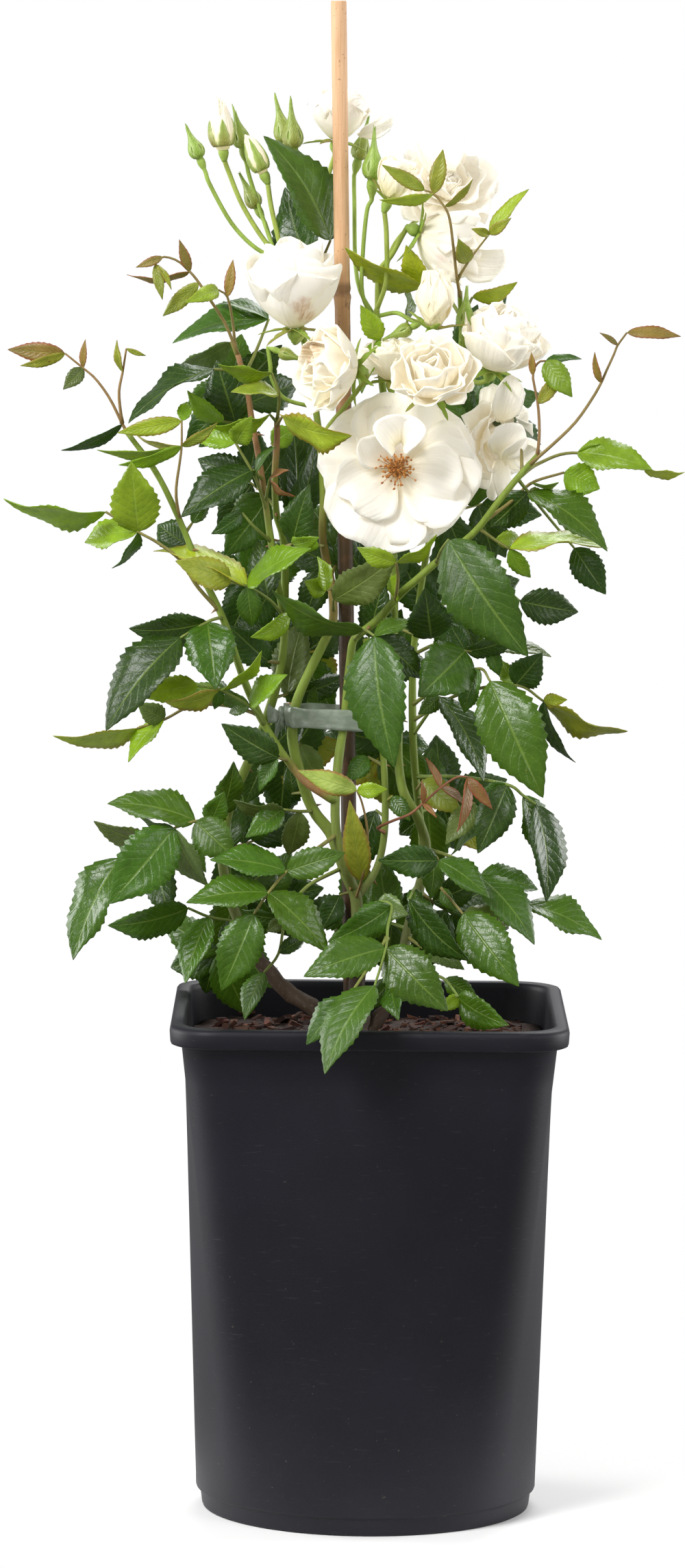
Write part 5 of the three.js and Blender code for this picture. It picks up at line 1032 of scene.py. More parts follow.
def addPetal(making, place, form, chance):
    base, axis, side, up = place
    radial = side * math.cos(form["turn"]) + up * math.sin(form["turn"])
    tangent = axis.cross(radial)
    phase = chance.uniform(0, 6.3)
    lobes = chance.uniform(3.5, 6.0)
    slant = chance.uniform(-0.06, 0.06)
    folds = []
    for _ in range(form["folds"]):
        folds.append((chance.uniform(-0.75, 0.75), chance.uniform(-1, 1) * form["fold"]))

    def spot(u, v):
        rim = bloomShape["round"] * u * u + bloomShape["notch"] * math.exp(-(u * 4) ** 2)
        rim += bloomShape["frill"] * math.sin(u * 7 + phase * 3) * (1 - u * u)
        reach = v * (1 - rim * v + slant * u)
        out, rise, angle = curl(form["start"], form["length"], form["foot"], form["tip"], reach)
        wide = math.sin(math.pi / 2 * min(1, v / 0.66)) ** 0.75 if v > 0 else 0
        wide = max(wide, 0.24) * (1 - 0.10 * max(0, v - 0.66) / 0.34)
        half = form["width"] / 2 * wide
        bow = (out + 4) / form["wrap"]
        swing = min(1.7, abs(u) * half / bow) * (1 if u > 0 else -1)
        inner = axis * math.sin(angle) - radial * math.cos(angle)
        ruffle = math.sin(u * lobes + phase) * form["ruffle"] * form["length"] * v * v
        ruffle += math.sin(u * 9 + phase * 2) * 0.35 * form["ruffle"] * form["length"] * v ** 4
        ruffle += sum(depth * math.exp(-((u - at) * 6) ** 2) for at, depth in folds) * form["length"] * v
        roll = form["roll"] * form["length"] * max(0, v - 0.62) ** 2 * 4
        point = base + axis * (form["rise"] + rise) + radial * out
        point += tangent * bow * math.sin(swing)
        return point + inner * (bow * (1 - math.cos(swing)) + ruffle - roll)

    tone = chance.uniform(0.95, 1.0)
    tint = mixed((tone, tone, tone), flower["cream"], form["cream"])
    addSheet(making, petal["columns"], petal["rows"], spot, tint)


def buildBloom(bloom):
    place = bloomFrame(bloom)
    chance = random.Random(bloom["name"])
    making = makingOf(petals, bloom["name"])
    kind, spread = bloom["layers"], bloom["spread"]
    full = bloom["length"] * bloom["grow"]
    wild = kind in ("open", "loose")
    uneven = 1.6 if wild else 1.0
    for ring, (count, share, foot, tip, width, wrap, ruffle, roll) in enumerate(layers[kind]):
        for k in range(count):
            jitter = chance.uniform(-1, 1) * bloomShape["jitterTurn"] * uneven
            lean = chance.uniform(-1, 1) * bloomShape["jitterAngle"] * uneven
            start = max(0.6, bloomShape["footRadius"] - 0.45 * ring)
            form = {
                "turn": math.radians(bloom["turn"] + 360 * (k + 0.5) / count + 37 * ring + jitter),
                "start": start,
                "length": full * share * chance.uniform(0.90, 1.0),
                "foot": math.radians(foot + spread + lean),
                "tip": math.radians(tip + spread + lean + 0.5),
                "width": full * width * share * chance.uniform(0.86, 1.08),
                "wrap": wrap,
                "ruffle": ruffle,
                "roll": roll * chance.uniform(0.4, 1.2),
                "rise": 0.9 - 0.1 * ring,
                "cream": bloom["cream"],
                "fold": 0.12 if kind == "open" else 0.07,
                "folds": 4 if wild else 3,
            }
            addPetal(making, place, form, chance)


# Petals that stand out from their bloom: bloom, base and tip readings, width, cup, lean to the side
loosePetals = [
    ("bloom_top", (-10, 770, 26), (9, 780, 20), 11, 0.3, 0.5),
    ("bloom_small", (6, 640, -8), (-9, 651, -14), 13, 0.5, -0.4),
    ("bloom_right", (70, 612, -6), (77, 637, -14), 17, 0.4, 0.2),
    ("bloom_right", (72, 596, -4), (76, 564, -8), 11, 0.5, 0.5),
    ("bloom_right", (68, 594, 0), (66, 568, -2), 10, 0.5, -0.5),
    ("bloom_right", (80, 600, -12), (92, 592, -10), 16, 0.9, 0.4),
    ("bloom_right", (68, 594, -8), (80, 611, -20), 20, 0.5, 0.2),
    ("bloom_right", (72, 590, -8), (91, 601, -18), 17, 0.6, 0.3),
    ("bloom_crest", (34, 746, 30), (25, 772, 34), 16, 0.5, 0.3),
    ("bloom_crest", (42, 750, 26), (41, 775, 30), 18, 0.4, -0.3),
    ("bloom_crest_low", (44, 706, -2), (73, 702, 0), 24, 0.6, 0.6),
    ("bloom_open", (12, 598, -40), (2, 612, -56), 22, 0.7, 0.5),
    ("bloom_open", (16, 599, -40), (27, 611, -55), 20, 0.7, -0.5),
]


def addLoosePetal(making, base, tip, width, cup, lean):
    form = leafletForm(seen(base), seen(tip), width, True, 1)
    front = form["front"] * math.cos(lean) + form["across"] * math.sin(lean)
    across = form["axis"].cross(front)
    chance = random.Random(round(base[0] * 13 + tip[1]))
    phase = chance.uniform(0, 6.3)

    def spot(u, v):
        reach = v * (1 - 0.24 * u * u)
        wide = max(0.3, math.sin(math.pi / 2 * min(1, v / 0.6)) ** 0.8)
        half = width / 2 * wide
        lift = cup * half * u * u + 0.10 * form["length"] * math.sin(math.pi * reach)
        lift += 0.06 * form["length"] * v * v * math.sin(u * 4 + phase)
        lift -= 0.14 * form["length"] * max(0, v - 0.7)
        return form["base"] + form["axis"] * reach * form["length"] + across * u * half + front * lift

    addSheet(making, petal["columns"], petal["rows"], spot, (1, 1, 0.995))


# The width of a bud at a share of its length
def swellAt(profile, share):
    for (low, first), (high, last) in zip(profile, profile[1:]):
        if share <= high:
            return first + (last - first) * max(0, share - low) / (high - low)
    return profile[-1][1]


# A sheet that hugs a bud: the part of its skin round one angle, standing off by a little
def addHugging(making, bud, turn, half, reach, off, tint, mark, slant=0):
    base, axis, profile, size = bud
    unit = axis.normalized()
    side = unit.orthogonal().normalized()
    lift = unit.cross(side)

    def spot(u, v):
        share = 0.02 + (reach - 0.02 + slant * u) * v
        radius = swellAt(profile, share) * size + off
        angle = turn + u * min(half(v) / max(radius, 0.4), 2.4)
        return base + axis * share + (side * math.cos(angle) + lift * math.sin(angle)) * radius

    addSheet(making, 6, 12, spot, tint, mark)


# Five sepals round a bud, pale along their edges
def addSepals(making, bud, reach, wide, blush, chance):
    size = bud[3]
    fresh, pale = flower["sepal"], flower["sepalEdge"]

    def half(v):
        return wide * size * (1 - v) ** 0.8 * (1 + 0.12 * math.sin(v * 19)) + 0.12

    for k in range(5):
        long = reach * chance.uniform(0.86, 1.08)
        tone = mixed(fresh, cane["red"], blush * chance.uniform(0.5, 1.0))

        def shade(u, v):
            return mixed(mixed(tone, fresh, v), pale, abs(u) ** 3 * 0.75)

        addHugging(making, bud, math.radians(72 * k + 20), half, long, 0.3, shade, (0.35, 0, 0))


# The green hip under a bloom and its five sepals
def addCalyx(bloom, node):
    base, axis, side, up = bloomFrame(bloom)
    chance = random.Random(bloom["name"] + "calyx")
    hip = 3.0 if bloom["length"] < 28 else 3.8
    foot = base - axis * bloomShape["hipDepth"]
    heights = [0, 1.2, 2.8, 4.6, 6.2, 7.4, 7.9]
    radii = [1.5, 1.9, hip * 0.84, hip, hip * 0.96, hip * 0.72, hip * 0.4]
    addRod(makingOf(woods, node), [foot + axis * height for height in heights], radii, 12, flower["hip"])
    if bloom["kind"] == "bud":
        return
    reach = 12 + bloom["length"] * 0.14
    sweep = bloomShape["sepalSweep"][bloom["kind"]]
    for k in range(5):
        turn = math.radians(bloom["turn"] + 36 + 72 * k + chance.uniform(-6, 6))
        radial = side * math.cos(turn) + up * math.sin(turn)
        tangent = axis.cross(radial)
        bend = math.radians(sweep + chance.uniform(-8, 8))

        def spot(u, v):
            out, rise, angle = curl(hip * 0.8, reach, bend, bend * 1.15, v)
            half = 2.5 * (1 - v) ** 0.7 * (1 + 0.25 * math.sin(v * 17)) + 0.12
            inner = axis * math.sin(angle) - radial * math.cos(angle)
            return base + axis * (rise - 0.9) + radial * out + tangent * u * half + inner * 0.5 * half * u * u

        tone = flower["sepal"] if chance.random() < 0.7 else mixed(flower["sepal"], cane["red"], 0.4)
        addSheet(makingOf(greens, node), 4, 8, spot, tone, (0.3, 0.3, 0))


# A bud that shows its petals: a smooth cone of wrapped petals with sepals against it
def addShowingBud(bloom):
    base, axis, _, _ = bloomFrame(bloom)
    chance = random.Random(bloom["name"])
    long, size = axis * bloom["length"], bloom["length"] / flower["budLength"]
    bud = (base, long, showingSwell, size)
    rings = [base + long * share for share, _ in showingSwell]
    making = makingOf(petals, bloom["name"])
    tone = mixed((1, 1, 1), flower["cream"], bloom["cream"])
    addRod(making, rings, [radius * size for _, radius in showingSwell], 16, tone)

    def half(v):
        return 9.5 * size * math.sin(math.pi * (0.30 + 0.64 * v))

    for k, (reach, slant) in enumerate(((0.97, 0.10), (0.93, 0.13), (0.86, 0.12))):
        turn = math.radians(bloom["turn"] + 120 * k)
        addHugging(making, bud, turn, half, reach, 0.35 + 0.25 * k, tone, (0, 0, 0), slant)
    outer = (base, long, [(share, radius + 0.9) for share, radius in showingSwell], size)
    reach, blush = flower["reach"][bloom["name"]], flower["blush"][bloom["name"]]
    addSepals(makingOf(greens, bloom["node"]), outer, reach, 4.2, blush, chance)


def addGreenBud(node, points, base, tip):
    axis = tip - base
    size = axis.length / flower["budLength"] * flower["belly"]
    bud = (base, axis, budSwell, size)
    rings = curveThrough([*points, base - axis * 0.42], len(points) * 5)
    radii = [1.2] * len(rings)
    for share, radius in budSwell:
        rings.append(base + axis * share)
        radii.append(radius * size)
    chance = random.Random(round(base.x * 7 + base.z))
    blush = chance.choice((0, 0, 0.25, 0.5))

    def tint(v):
        return mixed(flower["hip"], flower["sepal"], eased(0.6, 0.75, v))

    addRod(makingOf(woods, node), rings, radii, 12, tint)
    addSepals(makingOf(greens, node), bud, 1.0, 3.4, blush, chance)


def buildFlowers():
    for bloom in blooms:
        base, axis, _, _ = bloomFrame(bloom)
        points = [*[seen(reading) for reading in bloom["stalk"]], base - axis * 7]
        points[0] = snapped(points[0], bloom["node"])
        rings = curveThrough(points, len(points) * 6)
        addRod(makingOf(woods, bloom["node"]), rings, [cane["flowerStalk"]] * len(rings), 8, flower["stalk"])
        remember(bloom["node"], points)
        addCalyx(bloom, bloom["node"])
        if bloom["kind"] == "bud":
            addShowingBud(bloom)
        else:
            buildBloom(bloom)
    for name, *rest in loosePetals:
        addLoosePetal(makingOf(petals, name), *rest)
    for node, stalk, base, tip in greenBuds:
        points = [seen(reading) for reading in stalk]
        points[0] = snapped(points[0], node)
        addGreenBud(node, points, seen(base), seen(base).lerp(seen(tip), flower["tall"]))
        remember(node, [*points, seen(base)])


# Millimetres from the heart of the open bloom, and the colours of the stamens
stamen = {
    "count": 92,
    "spread": 4.2,
    "rest": 2.6,
    "length": 8.6,
    "filament": (0.68, 0.40, 0.17),
    "heart": (0.50, 0.27, 0.08),
    "anthers": ((0.34, 0.11, 0.02), (0.64, 0.28, 0.05)),
    "dust": (0.45, 0.16, 0.03),
}


def stamenMaterial():
    paint = Paint("stamenGold")
    grain = paint.grain(paint.place(), 1500, 2)
    colour = paint.mix(grain.between(0.35, 0.7) * 0.5, paint.tint(), stamen["dust"])
    return paint.finish(grain, 0.4, 0.0003, baseColor=colour, roughness=0.6 + grain * 0.2)


def buildStamens():
    bloom = next(each for each in blooms if each["kind"] == "open")
    base, axis, side, up = bloomFrame(bloom)
    chance = random.Random(71)
    making = Making()
    seat = base + axis * stamen["rest"]
    addRod(making, [seat, seat + axis * 2.2, seat + axis * 3.4], [4.6, 4.2, 2.6], 14, stamen["heart"])
    for k in range(stamen["count"]):
        away = stamen["spread"] * ((k + 0.5) / stamen["count"]) ** 0.62
        turn = k * 2.4 + chance.uniform(-0.35, 0.35)
        radial = side * math.cos(turn) + up * math.sin(turn)
        lean = 0.10 + 0.95 * away / stamen["spread"] * chance.uniform(0.7, 1.15)
        start = seat + radial * away + axis * 2.4
        long = stamen["length"] * chance.uniform(0.45, 1.1)
        middle = start + (axis * math.cos(lean) + radial * math.sin(lean)) * long * 0.55
        end = start + axis * long * math.cos(lean * 0.8) + radial * long * math.sin(lean)
        addRod(making, [start, middle, end], [0.22, 0.18, 0.18], 4, stamen["filament"])
        spin = Vector((chance.uniform(-1, 1), chance.uniform(-1, 1), chance.uniform(-1, 1))) * 0.7
        tone = mixed(*stamen["anthers"], chance.random())
        addRod(making, [end - spin, end, end + spin], [0.45, 0.68, 0.4], 5, tone)
    finishPiece(making, "stamenTuft", "stamens", "stamen_gold", [stamenMaterial()])


# Half widths, radii and heights in millimetres, and the colours of the plastic
pot = {
    "height": 284,
    "rimHalf": 110,
    "rimBand": 11,
    "wallHalf": 103.6,
    "wall": 2.4,
    "stepHeight": 12,
    "wallRadius": 95.7,
    "footRadius": 93.2,
    "footBottomRadius": 92.2,
    "floor": 4,
    "cornerAngle": 37,
    "around": 144,
    "dark": (0.0036, 0.0034, 0.0072),
    "light": (0.0068, 0.0066, 0.0128),
    "dust": (0.15, 0.12, 0.08),
    "scuff": (0.05, 0.05, 0.052),
    "specular": 0.32,
}


def plasticMaterial():
    paint = Paint("potPlastic")
    place = paint.place()
    fine = paint.grain(place, 1400, 3)
    cloud = paint.grain(place, 9, 4)
    dust = paint.grain(place, 260, 5, 0.7)
    scuff = paint.grain(paint.stretched(place, (90, 90, 700)), 1, 2).between(0.63, 0.78)
    low = 1 - paint.split(place).of("Z").between(0.02, 0.12)
    colour = paint.mix(cloud.between(0.3, 0.75), pot["dark"], pot["light"])
    colour = paint.mix(dust.between(0.66, 0.74) * (0.30 + low * 0.5), colour, pot["dust"])
    colour = paint.mix(scuff * 0.16, colour, pot["scuff"])
    rough = 0.42 + cloud * 0.14 + fine * 0.08 + scuff * 0.08
    bump = fine * 0.6 + scuff * 0.4
    return paint.finish(bump, 0.28, 0.0004, pot["specular"], baseColor=colour, roughness=rough)


# How far a rounded square reaches at an angle, eased towards a circle as its squareness falls
def outline(angle, square):
    folded = abs(math.degrees(angle) % 90 - 45)
    inset = math.tan(math.radians(pot["cornerAngle"]))
    radius = 1 - inset
    if 45 - folded > pot["cornerAngle"]:
        middle = inset * math.sqrt(2)
        off = math.radians(folded)
        reach = middle * math.cos(off) + math.sqrt(radius * radius - (middle * math.sin(off)) ** 2)
    else:
        reach = 1 / math.cos(math.radians(45 - folded))
    return 1 + (reach - 1) * square


# A ring of the wall: half width, height and squareness, which grows from the step to the rim
def wallAt(height, inset):
    share = (height - pot["stepHeight"]) / (pot["height"] - pot["rimBand"] - pot["stepHeight"])
    return pot["wallRadius"] + (pot["wallHalf"] - pot["wallRadius"]) * share - inset, height, share


# Rings of half width, height and squareness, joined into one skin
def addLoft(making, rings, tint, relief=None):
    last = len(rings) - 1

    def place(u, v):
        half, height, square = rings[round(v * last)]
        angle = math.pi * u + 0.14 * math.sin(4 * math.pi * u)
        reach = half * outline(angle, square)
        x, y = reach * math.cos(angle), reach * math.sin(angle)
        return Vector((x, y, height + (relief(x, y, height) if relief else 0)))

    addSheet(making, pot["around"], last, place, tint, joined=True)


def buildPot():
    making = Making()
    foot, wall, rim, step = pot["footBottomRadius"], pot["wallHalf"], pot["rimHalf"], pot["stepHeight"]
    top, under = pot["height"], pot["height"] - pot["rimBand"]
    inner = wall - pot["wall"]
    walls = [wallAt(step + (under - step) * k / 12, 0) for k in range(12)]
    lining = [wallAt(step + (under - step) * k / 8, pot["wall"]) for k in range(8, -1, -1)]
    rings = [
        (0.01, 0, 0), (70, 0, 0), (foot - 1.4, 0, 0), (foot - 0.4, 0.5, 0), (foot, 1.6, 0),
        (pot["footRadius"], step - 3.2, 0), (pot["footRadius"] + 0.2, step - 2.4, 0),
        (pot["wallRadius"] - 1.2, step - 1.6, 0), (pot["wallRadius"] - 0.3, step - 0.9, 0), *walls,
        (wall - 0.1, under - 0.8, 1), (wall + 0.5, under, 1), (rim - 1.8, under, 1),
        (rim - 0.8, under + 0.5, 1), (rim - 0.4, under + 1.6, 1), (rim, top - 3.4, 1),
        (rim - 0.3, top - 1.6, 1), (rim - 1.2, top - 0.5, 1), (rim - 2.6, top, 1), (inner + 2.2, top, 1),
        (inner + 0.9, top - 0.4, 1), (inner + 0.2, top - 1.6, 1), (inner, top - 4, 1), *lining,
        (pot["footRadius"] - pot["wall"], pot["floor"], 0), (0.01, pot["floor"], 0),
    ]
    addLoft(making, rings, (1, 1, 1))
    finishPiece(making, "potShell", "pot", "pot_plastic", [plasticMaterial()])


# The compost's heights and half widths, its chips and crumbs of bark and its pale granules
soil = {
    "level": 264,
    "bottom": 180,
    "flatBelow": 255,
    "edge": 94,
    "wave": 2.2,
    "lump": 2.4,
    "chips": 620,
    "chipLength": (4, 12),
    "crumbs": 900,
    "crumbLength": (1.2, 3.5),
    "strewn": 92,
    "highest": 7,
    "granules": 0.008,
    "granule": (9, 13, 18),
    "stops": [(0.28, (0.006, 0.003, 0.002)), (0.5, (0.030, 0.012, 0.007)), (0.75, (0.12, 0.050, 0.026))],
}


def compostMaterial():
    paint = Paint("barkCompost")
    place = paint.place()
    lumps = paint.grain(place, 150, 6, 0.7)
    fibre = paint.grain(paint.stretched(place, (1, 2.4, 1)), 420, 4)
    colour = paint.node("ShaderNodeValToRGB", {"stops": soil["stops"]}, {"Fac": lumps * 0.7 + fibre * 0.3})
    colour = paint.mix(1.0, colour, paint.tint(), "MULTIPLY")
    return paint.finish(lumps + fibre * 0.5, 0.8, 0.002, baseColor=colour, roughness=0.78 + fibre * 0.15)


# The lumps of the compost's surface, which its lower rings don't have
def soilRelief(x, y, height):
    if height < soil["flatBelow"]:
        return 0
    wave = soil["wave"] * math.sin(x / 13 + 1) * math.cos(y / 17)
    return wave + soil["lump"] * noise.noise(Vector((x, y, 3)) * 0.12)


def addChip(making, long, chance):
    wide, high = long * chance.uniform(0.28, 0.6), long * chance.uniform(0.12, 0.3)
    verts = bmesh.ops.create_cube(making.bm, size=1)["verts"]
    for vert in verts:
        vert.co.x *= long * chance.uniform(0.75, 1)
        vert.co.y *= wide * chance.uniform(0.6, 1)
        vert.co.z *= high * chance.uniform(0.6, 1)
    return verts, high


def buildSoil():
    chance = random.Random(11)
    making = Making()
    gap = pot["wall"] + 0.5
    level, bottom = soil["level"], soil["bottom"]
    rings = [(0.01, bottom, 0), wallAt(bottom, gap), wallAt(level - 3, gap), (soil["edge"], level - 1, 0.8)]
    rings += [(soil["edge"] * k / 12, level, 0.7 * k / 12) for k in range(11, 0, -1)] + [(0.01, level, 0)]
    addLoft(making, rings, (1, 1, 1), soilRelief)
    for k in range(soil["chips"] + soil["crumbs"]):
        angle = chance.uniform(0, 2 * math.pi)
        away = soil["strewn"] * math.sqrt(chance.uniform(0.02, 1))
        reach = away * outline(angle, 0.82 * away / soil["strewn"])
        x, y = reach * math.cos(angle), reach * math.sin(angle)
        long = chance.uniform(*soil["chipLength" if k < soil["chips"] else "crumbLength"])
        verts, high = addChip(making, long, chance)
        turned = Matrix.Rotation(chance.uniform(0, 6.3), 3, "Z")
        spin = turned @ Matrix.Rotation(chance.gauss(0, 0.35), 3, "Y")
        lift = min(level + soilRelief(x, y, level) + high * 0.3, level + soil["highest"])
        tone = chance.uniform(0.7, 4.2)
        colour = (tone, tone * chance.uniform(0.72, 0.95), tone * chance.uniform(0.6, 0.9))
        if chance.random() < soil["granules"]:
            colour = soil["granule"]
        for vert in verts:
            vert.co = spin @ vert.co + Vector((x, y, lift))
            vert[making.tint] = (*colour, 1)
    finishPiece(making, "compostBed", "soil", "compost", [compostMaterial()])


# The cane's ends as readings, its radius and the height of its knot in millimetres, and its colours
bamboo = {
    "foot": (-7, 120, 14),
    "top": (-21.5, 844.5, 5),
    "radius": 4.4,
    "knot": 683,
    "sides": 24,
    "dark": (0.62, 0.36, 0.185),
    "light": (0.74, 0.47, 0.27),
    "cloud": (0.50, 0.26, 0.12),
    "below": (0.30, 0.140, 0.060),
    # deep: painted shade, the lower cane darkened where the foliage shades it
    "deep": (0.028, 0.018, 0.007),
    "blotch": (0.10, 0.045, 0.02),
    "ring": (0.13, 0.06, 0.03),
    "spots": (0.16, 0.08, 0.04),
    "specular": 0.3,
}


def bambooMaterial():
    paint = Paint("bambooSkin")
    place = paint.place()
    fibre = paint.grain(paint.stretched(place, (1, 1, 0.03)), 900, 3)
    cloud = paint.grain(paint.stretched(place, (1, 1, 0.3)), 70, 3)
    blotch = paint.grain(paint.stretched(place, (1, 1, 0.5)), 190, 4)
    spots = paint.grain(place, 520, 2)
    up = paint.split(place).of("Z")
    below = 1 - up.between(0.672, 0.690)
    coats = {
        "cloud": cloud.between(0.4, 0.7) * 0.35,
        "below": below * 0.55,
        # Painted shade: the cane is darkened below the foliage, fully under about 0.53 m and fading out by
        # 0.65 m
        "deep": (1 - up.between(0.53, 0.65)) * 0.94,
        "blotch": below * blotch.between(0.52, 0.62) * 0.6,
        "ring": (1 - (up - 0.6845).maths("ABSOLUTE").between(0.0015, 0.0055)) * 0.6,
        "spots": spots.between(0.66, 0.72) * 0.5,
    }
    colour = paint.mix(fibre.between(0.3, 0.7), bamboo["dark"], bamboo["light"])
    for name, share in coats.items():
        colour = paint.mix(share, colour, bamboo[name])
    bump, rough = fibre + cloud * 0.3, 0.46 + fibre * 0.14
    return paint.finish(bump, 0.35, 0.0006, bamboo["specular"], baseColor=colour, roughness=rough)


def buildCane():
    making = Making()
    foot, top = seen(bamboo["foot"]), seen(bamboo["top"])
    span = top - foot
    axis = span.normalized()
    knot = span.length * (bamboo["knot"] - bamboo["foot"][1]) / (bamboo["top"][1] - bamboo["foot"][1])
    stations = [
        (0, 0.94), (knot * 0.4, 0.97), (knot - 200, 0.98), (knot - 60, 0.98), (knot - 8, 0.98),
        (knot - 4, 1.05), (knot - 2.4, 1.12), (knot - 1, 1.08), (knot, 0.96), (knot + 1, 1.02),
        (knot + 2.6, 1.09), (knot + 4.5, 1.04), (knot + 8, 0.99), (knot + 60, 0.985),
        (span.length - 1.2, 0.98), (span.length - 0.3, 0.93),
    ]
    rings = [foot + axis * height for height, _ in stations]
    radii = [bamboo["radius"] * share for _, share in stations]
    end, wide = rings[-1], radii[-1]
    side = axis.orthogonal().normalized()
    lift = axis.cross(side)
    rings = [foot, *rings, end, end - axis * 0.2, end - axis * 4, end - axis * 4]  # the hollow end on top
    radii = [0.002, *radii, wide * 0.78, wide * 0.62, wide * 0.5, 0.002]
    last = len(rings) - 1

    def place(u, v):
        k = round(v * last)
        return rings[k] + (side * math.cos(math.pi * u) + lift * math.sin(math.pi * u)) * radii[k]

    addSheet(making, bamboo["sides"], last, place, (1, 1, 1), joined=True)
    finishPiece(making, "bambooRod", "bamboo_cane", "bamboo", [bambooMaterial()])


# The loop's sides, the ribbon's width and height, and its tails: reach, rise and start of the wave
tie = {
    "left": -49,
    "right": 8,
    "front": -15,
    "back": 16.5,
    "height": 12,
    "level": 446,
    "thickness": 0.25,
    "tails": ((8, 3, 0.4), (4, -9, 1.7)),
    "dark": (0.22, 0.27, 0.20),
    "light": (0.34, 0.39, 0.31),
}


def filmMaterial():
    paint = Paint("tieFilm")
    place = paint.place()
    crease = paint.grain(paint.stretched(place, (60, 60, 420)), 1, 3)
    cloud = paint.grain(place, 120, 3)
    colour = paint.mix(cloud.between(0.3, 0.7), tie["dark"], tie["light"])
    rough, solidity = 0.20 + cloud * 0.14, 0.55 + crease * 0.45
    return paint.finish(crease, 0.3, 0.001, baseColor=colour, roughness=rough, alpha=solidity)


def buildTie():
    making = Making()
    wide, deep = (tie["right"] - tie["left"]) / 2, (tie["back"] - tie["front"]) / 2
    middle = Vector(((tie["left"] + tie["right"]) / 2, (tie["front"] + tie["back"]) / 2, tie["level"]))

    def ribbon(u, v):
        angle = math.pi * u
        x = math.copysign(wide * abs(math.cos(angle)) ** 0.6, math.cos(angle))
        y = math.copysign(deep * abs(math.sin(angle)) ** 0.6, math.sin(angle))
        crease = 0.5 * math.sin(angle * 5 + v * 5) + 0.35 * math.sin(angle * 13 + v * 2)
        high = (v - 0.5) * tie["height"] * (1 - 0.12 * math.sin(angle * 3 + 1) ** 2) - x * 0.04
        out = Vector((x / wide, y / deep, 0)) * crease
        return middle + Vector((x, y, high)) + out

    addSheet(making, 96, 8, ribbon, (1, 1, 1), joined=True)
    knot = Vector((tie["left"] - 1.6, -5, tie["level"]))
    rings = [knot + Vector((0.5 * math.sin(k * 2.1), 0, (k - 4) * 1.5)) for k in range(9)]
    addRod(making, rings, [1.4, 2.2, 2.7, 2.2, 2.6, 2.3, 2.7, 2.2, 1.2], 12, (1.2, 1.2, 1.2))
    for reach, rise, wave in tie["tails"]:
        def tail(u, v):
            fold = 0.8 * math.sin(u * 3 + v * 4 + wave)
            up = tie["level"] + rise * v + u * (3 + 2.4 * v)
            return Vector((tie["left"] - 1 - reach * v + fold * 0.4, -6 - 5 * v + fold, up))

        addSheet(making, 6, 8, tail, (1.5, 1.5, 1.5))
    finishPiece(making, "tieRibbon", "plastic_tie", "tie_film", [filmMaterial()], tie["thickness"])


def slotOf(node):
    return "young_foliage" if node.startswith("shoot") else "foliage"


def finishPlant():
    greenCane, brownBark = caneMaterial("greenCane", 260), caneMaterial("brownBark", 160)
    leafSkins = [leafMaterial("roseLeaf", False), leafMaterial("roseLeafUnder", True)]
    whitePetal = petalMaterial("whitePetal", petal["whiteHeart"])
    creamPetal = petalMaterial("creamPetal", petal["creamHeart"])
    for node, making in woods.items():
        slotName = "bark" if node.startswith(("rose", "stem")) else slotOf(node)
        skin = brownBark if node == "rose_crown" else greenCane
        finishPiece(making, node + "Canes", node, slotName, [skin])
    for node, making in greens.items():
        finishPiece(making, node + "Leaves", node, slotOf(node), leafSkins, leaf["thickness"])
    for node, making in petals.items():
        creamy = node.startswith("bud")
        slotName, skin = ("petal_cream", creamPetal) if creamy else ("petal_white", whitePetal)
        finishPiece(making, node + "Petals", node, slotName, [skin], petal["thickness"])


buildStems()
buildFlowers()
buildLeaves()
finishPlant()
print("plant built")
buildStamens()
buildPot()
buildSoil()
buildCane()
buildTie()
print("pot, compost, cane and tie built")

# The floor fades out with distance in metres; a light is its place, size and power
stageLook = {
    "floor": (0.92, 0.915, 0.91),
    "grey": (0.82, 0.82, 0.82),
    "radius": 3.2,
    "fade": (0.11, 0.27),
    "backdrop": 1.0,
    "room": 0.34,
    "aim": 0.45,
    "lights": [
        ((-1.9, -2.4, 2.9), 1.6, 132), ((2.4, -2.4, 1.7), 1.8, 32), ((0.5, 2.2, 2.6), 2.0, 60),
        ((-2.2, -2.6, 1.3), 1.8, 24), ((-2.3, 0.7, 0.6), 1.5, 46), ((2.3, 0.7, 0.6), 1.5, 42),
    ],
}


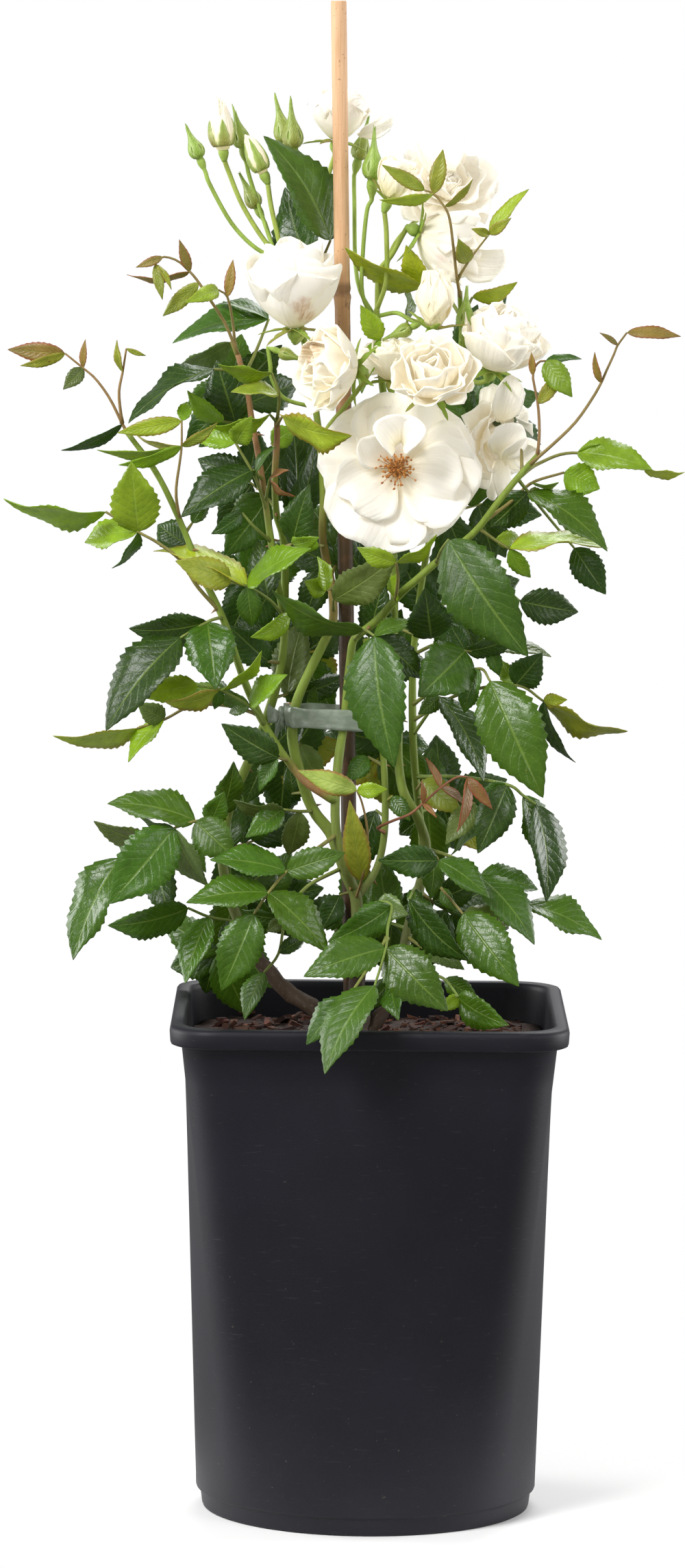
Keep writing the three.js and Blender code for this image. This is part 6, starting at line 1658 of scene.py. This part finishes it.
def buildStage():
    paint = Paint("paleFloor")
    place = paint.place()
    away = paint.node("ShaderNodeVectorMath", {"operation": "LENGTH"}, {0: place}, out="Value")
    grain = paint.grain(place, 4, 2)
    colour = paint.mix(grain * 0.1, stageLook["floor"], stageLook["grey"])
    paint.finish(baseColor=colour, roughness=0.9, alpha=1 - away.between(*stageLook["fade"]))
    bm = bmesh.new()
    bmesh.ops.create_circle(bm, cap_ends=True, segments=96, radius=stageLook["radius"])
    mesh = bpy.data.meshes.new("floor")
    bm.to_mesh(mesh)
    bm.free()
    mesh.materials.append(paint.material)
    floor = bpy.data.objects.new("floor", mesh)
    bpy.context.scene.collection.objects.link(floor)
    world = bpy.data.worlds.new("paleRoom")
    world.use_nodes = True
    tree = world.node_tree
    room = tree.nodes["Background"]
    room.inputs["Color"].default_value = (1, 1, 1, 1)
    ray = tree.nodes.new("ShaderNodeLightPath")
    level = tree.nodes.new("ShaderNodeMapRange")
    level.inputs["To Min"].default_value = stageLook["room"]
    level.inputs["To Max"].default_value = stageLook["backdrop"]
    tree.links.new(ray.outputs["Is Camera Ray"], level.inputs["Value"])
    tree.links.new(level.outputs["Result"], room.inputs["Strength"])
    bpy.context.scene.world = world
    for k, (place, size, power) in enumerate(stageLook["lights"]):
        data = bpy.data.lights.new(f"softLight{k}", "AREA")
        data.shape = "DISK"
        data.size = size
        data.energy = power
        lamp = bpy.data.objects.new(f"softLight{k}", data)
        lamp.location = place
        lamp.rotation_mode = "QUATERNION"
        aim = Vector((0, 0, stageLook["aim"])) - Vector(place)
        lamp.rotation_quaternion = aim.to_track_quat("-Z", "Y")
        bpy.context.scene.collection.objects.link(lamp)


# The camera's place in metres, its turns in degrees and its focal length in points of the photo
view = {
    "place": (-0.016, -4.0, 0.829),
    "down": 6.0,
    "roll": 0.45,
    "focal": 10500,
    "height": 2290,
    "sensor": 36,
}


def buildCamera():
    down, roll = math.radians(view["down"]), math.radians(view["roll"])
    forward = Vector((0, math.cos(down), -math.sin(down)))
    upright = Vector((0, math.sin(down), math.cos(down)))
    right = Vector((1, 0, 0)) * math.cos(roll) + upright * math.sin(roll)
    up = upright * math.cos(roll) - Vector((1, 0, 0)) * math.sin(roll)
    data = bpy.data.cameras.new("camera")
    data.sensor_fit = "AUTO"
    data.sensor_width = view["sensor"]
    data.lens = view["focal"] / view["height"] * view["sensor"]
    data.clip_end = 100
    camera = bpy.data.objects.new("camera", data)
    turn = Matrix((right, up, -forward)).transposed()
    camera.matrix_world = Matrix.Translation(view["place"]) @ turn.to_4x4()
    bpy.context.scene.collection.objects.link(camera)
    bpy.context.scene.camera = camera


buildStage()
buildCamera()
bpy.context.scene.view_settings.view_transform = "Standard"
print("stage and camera set")
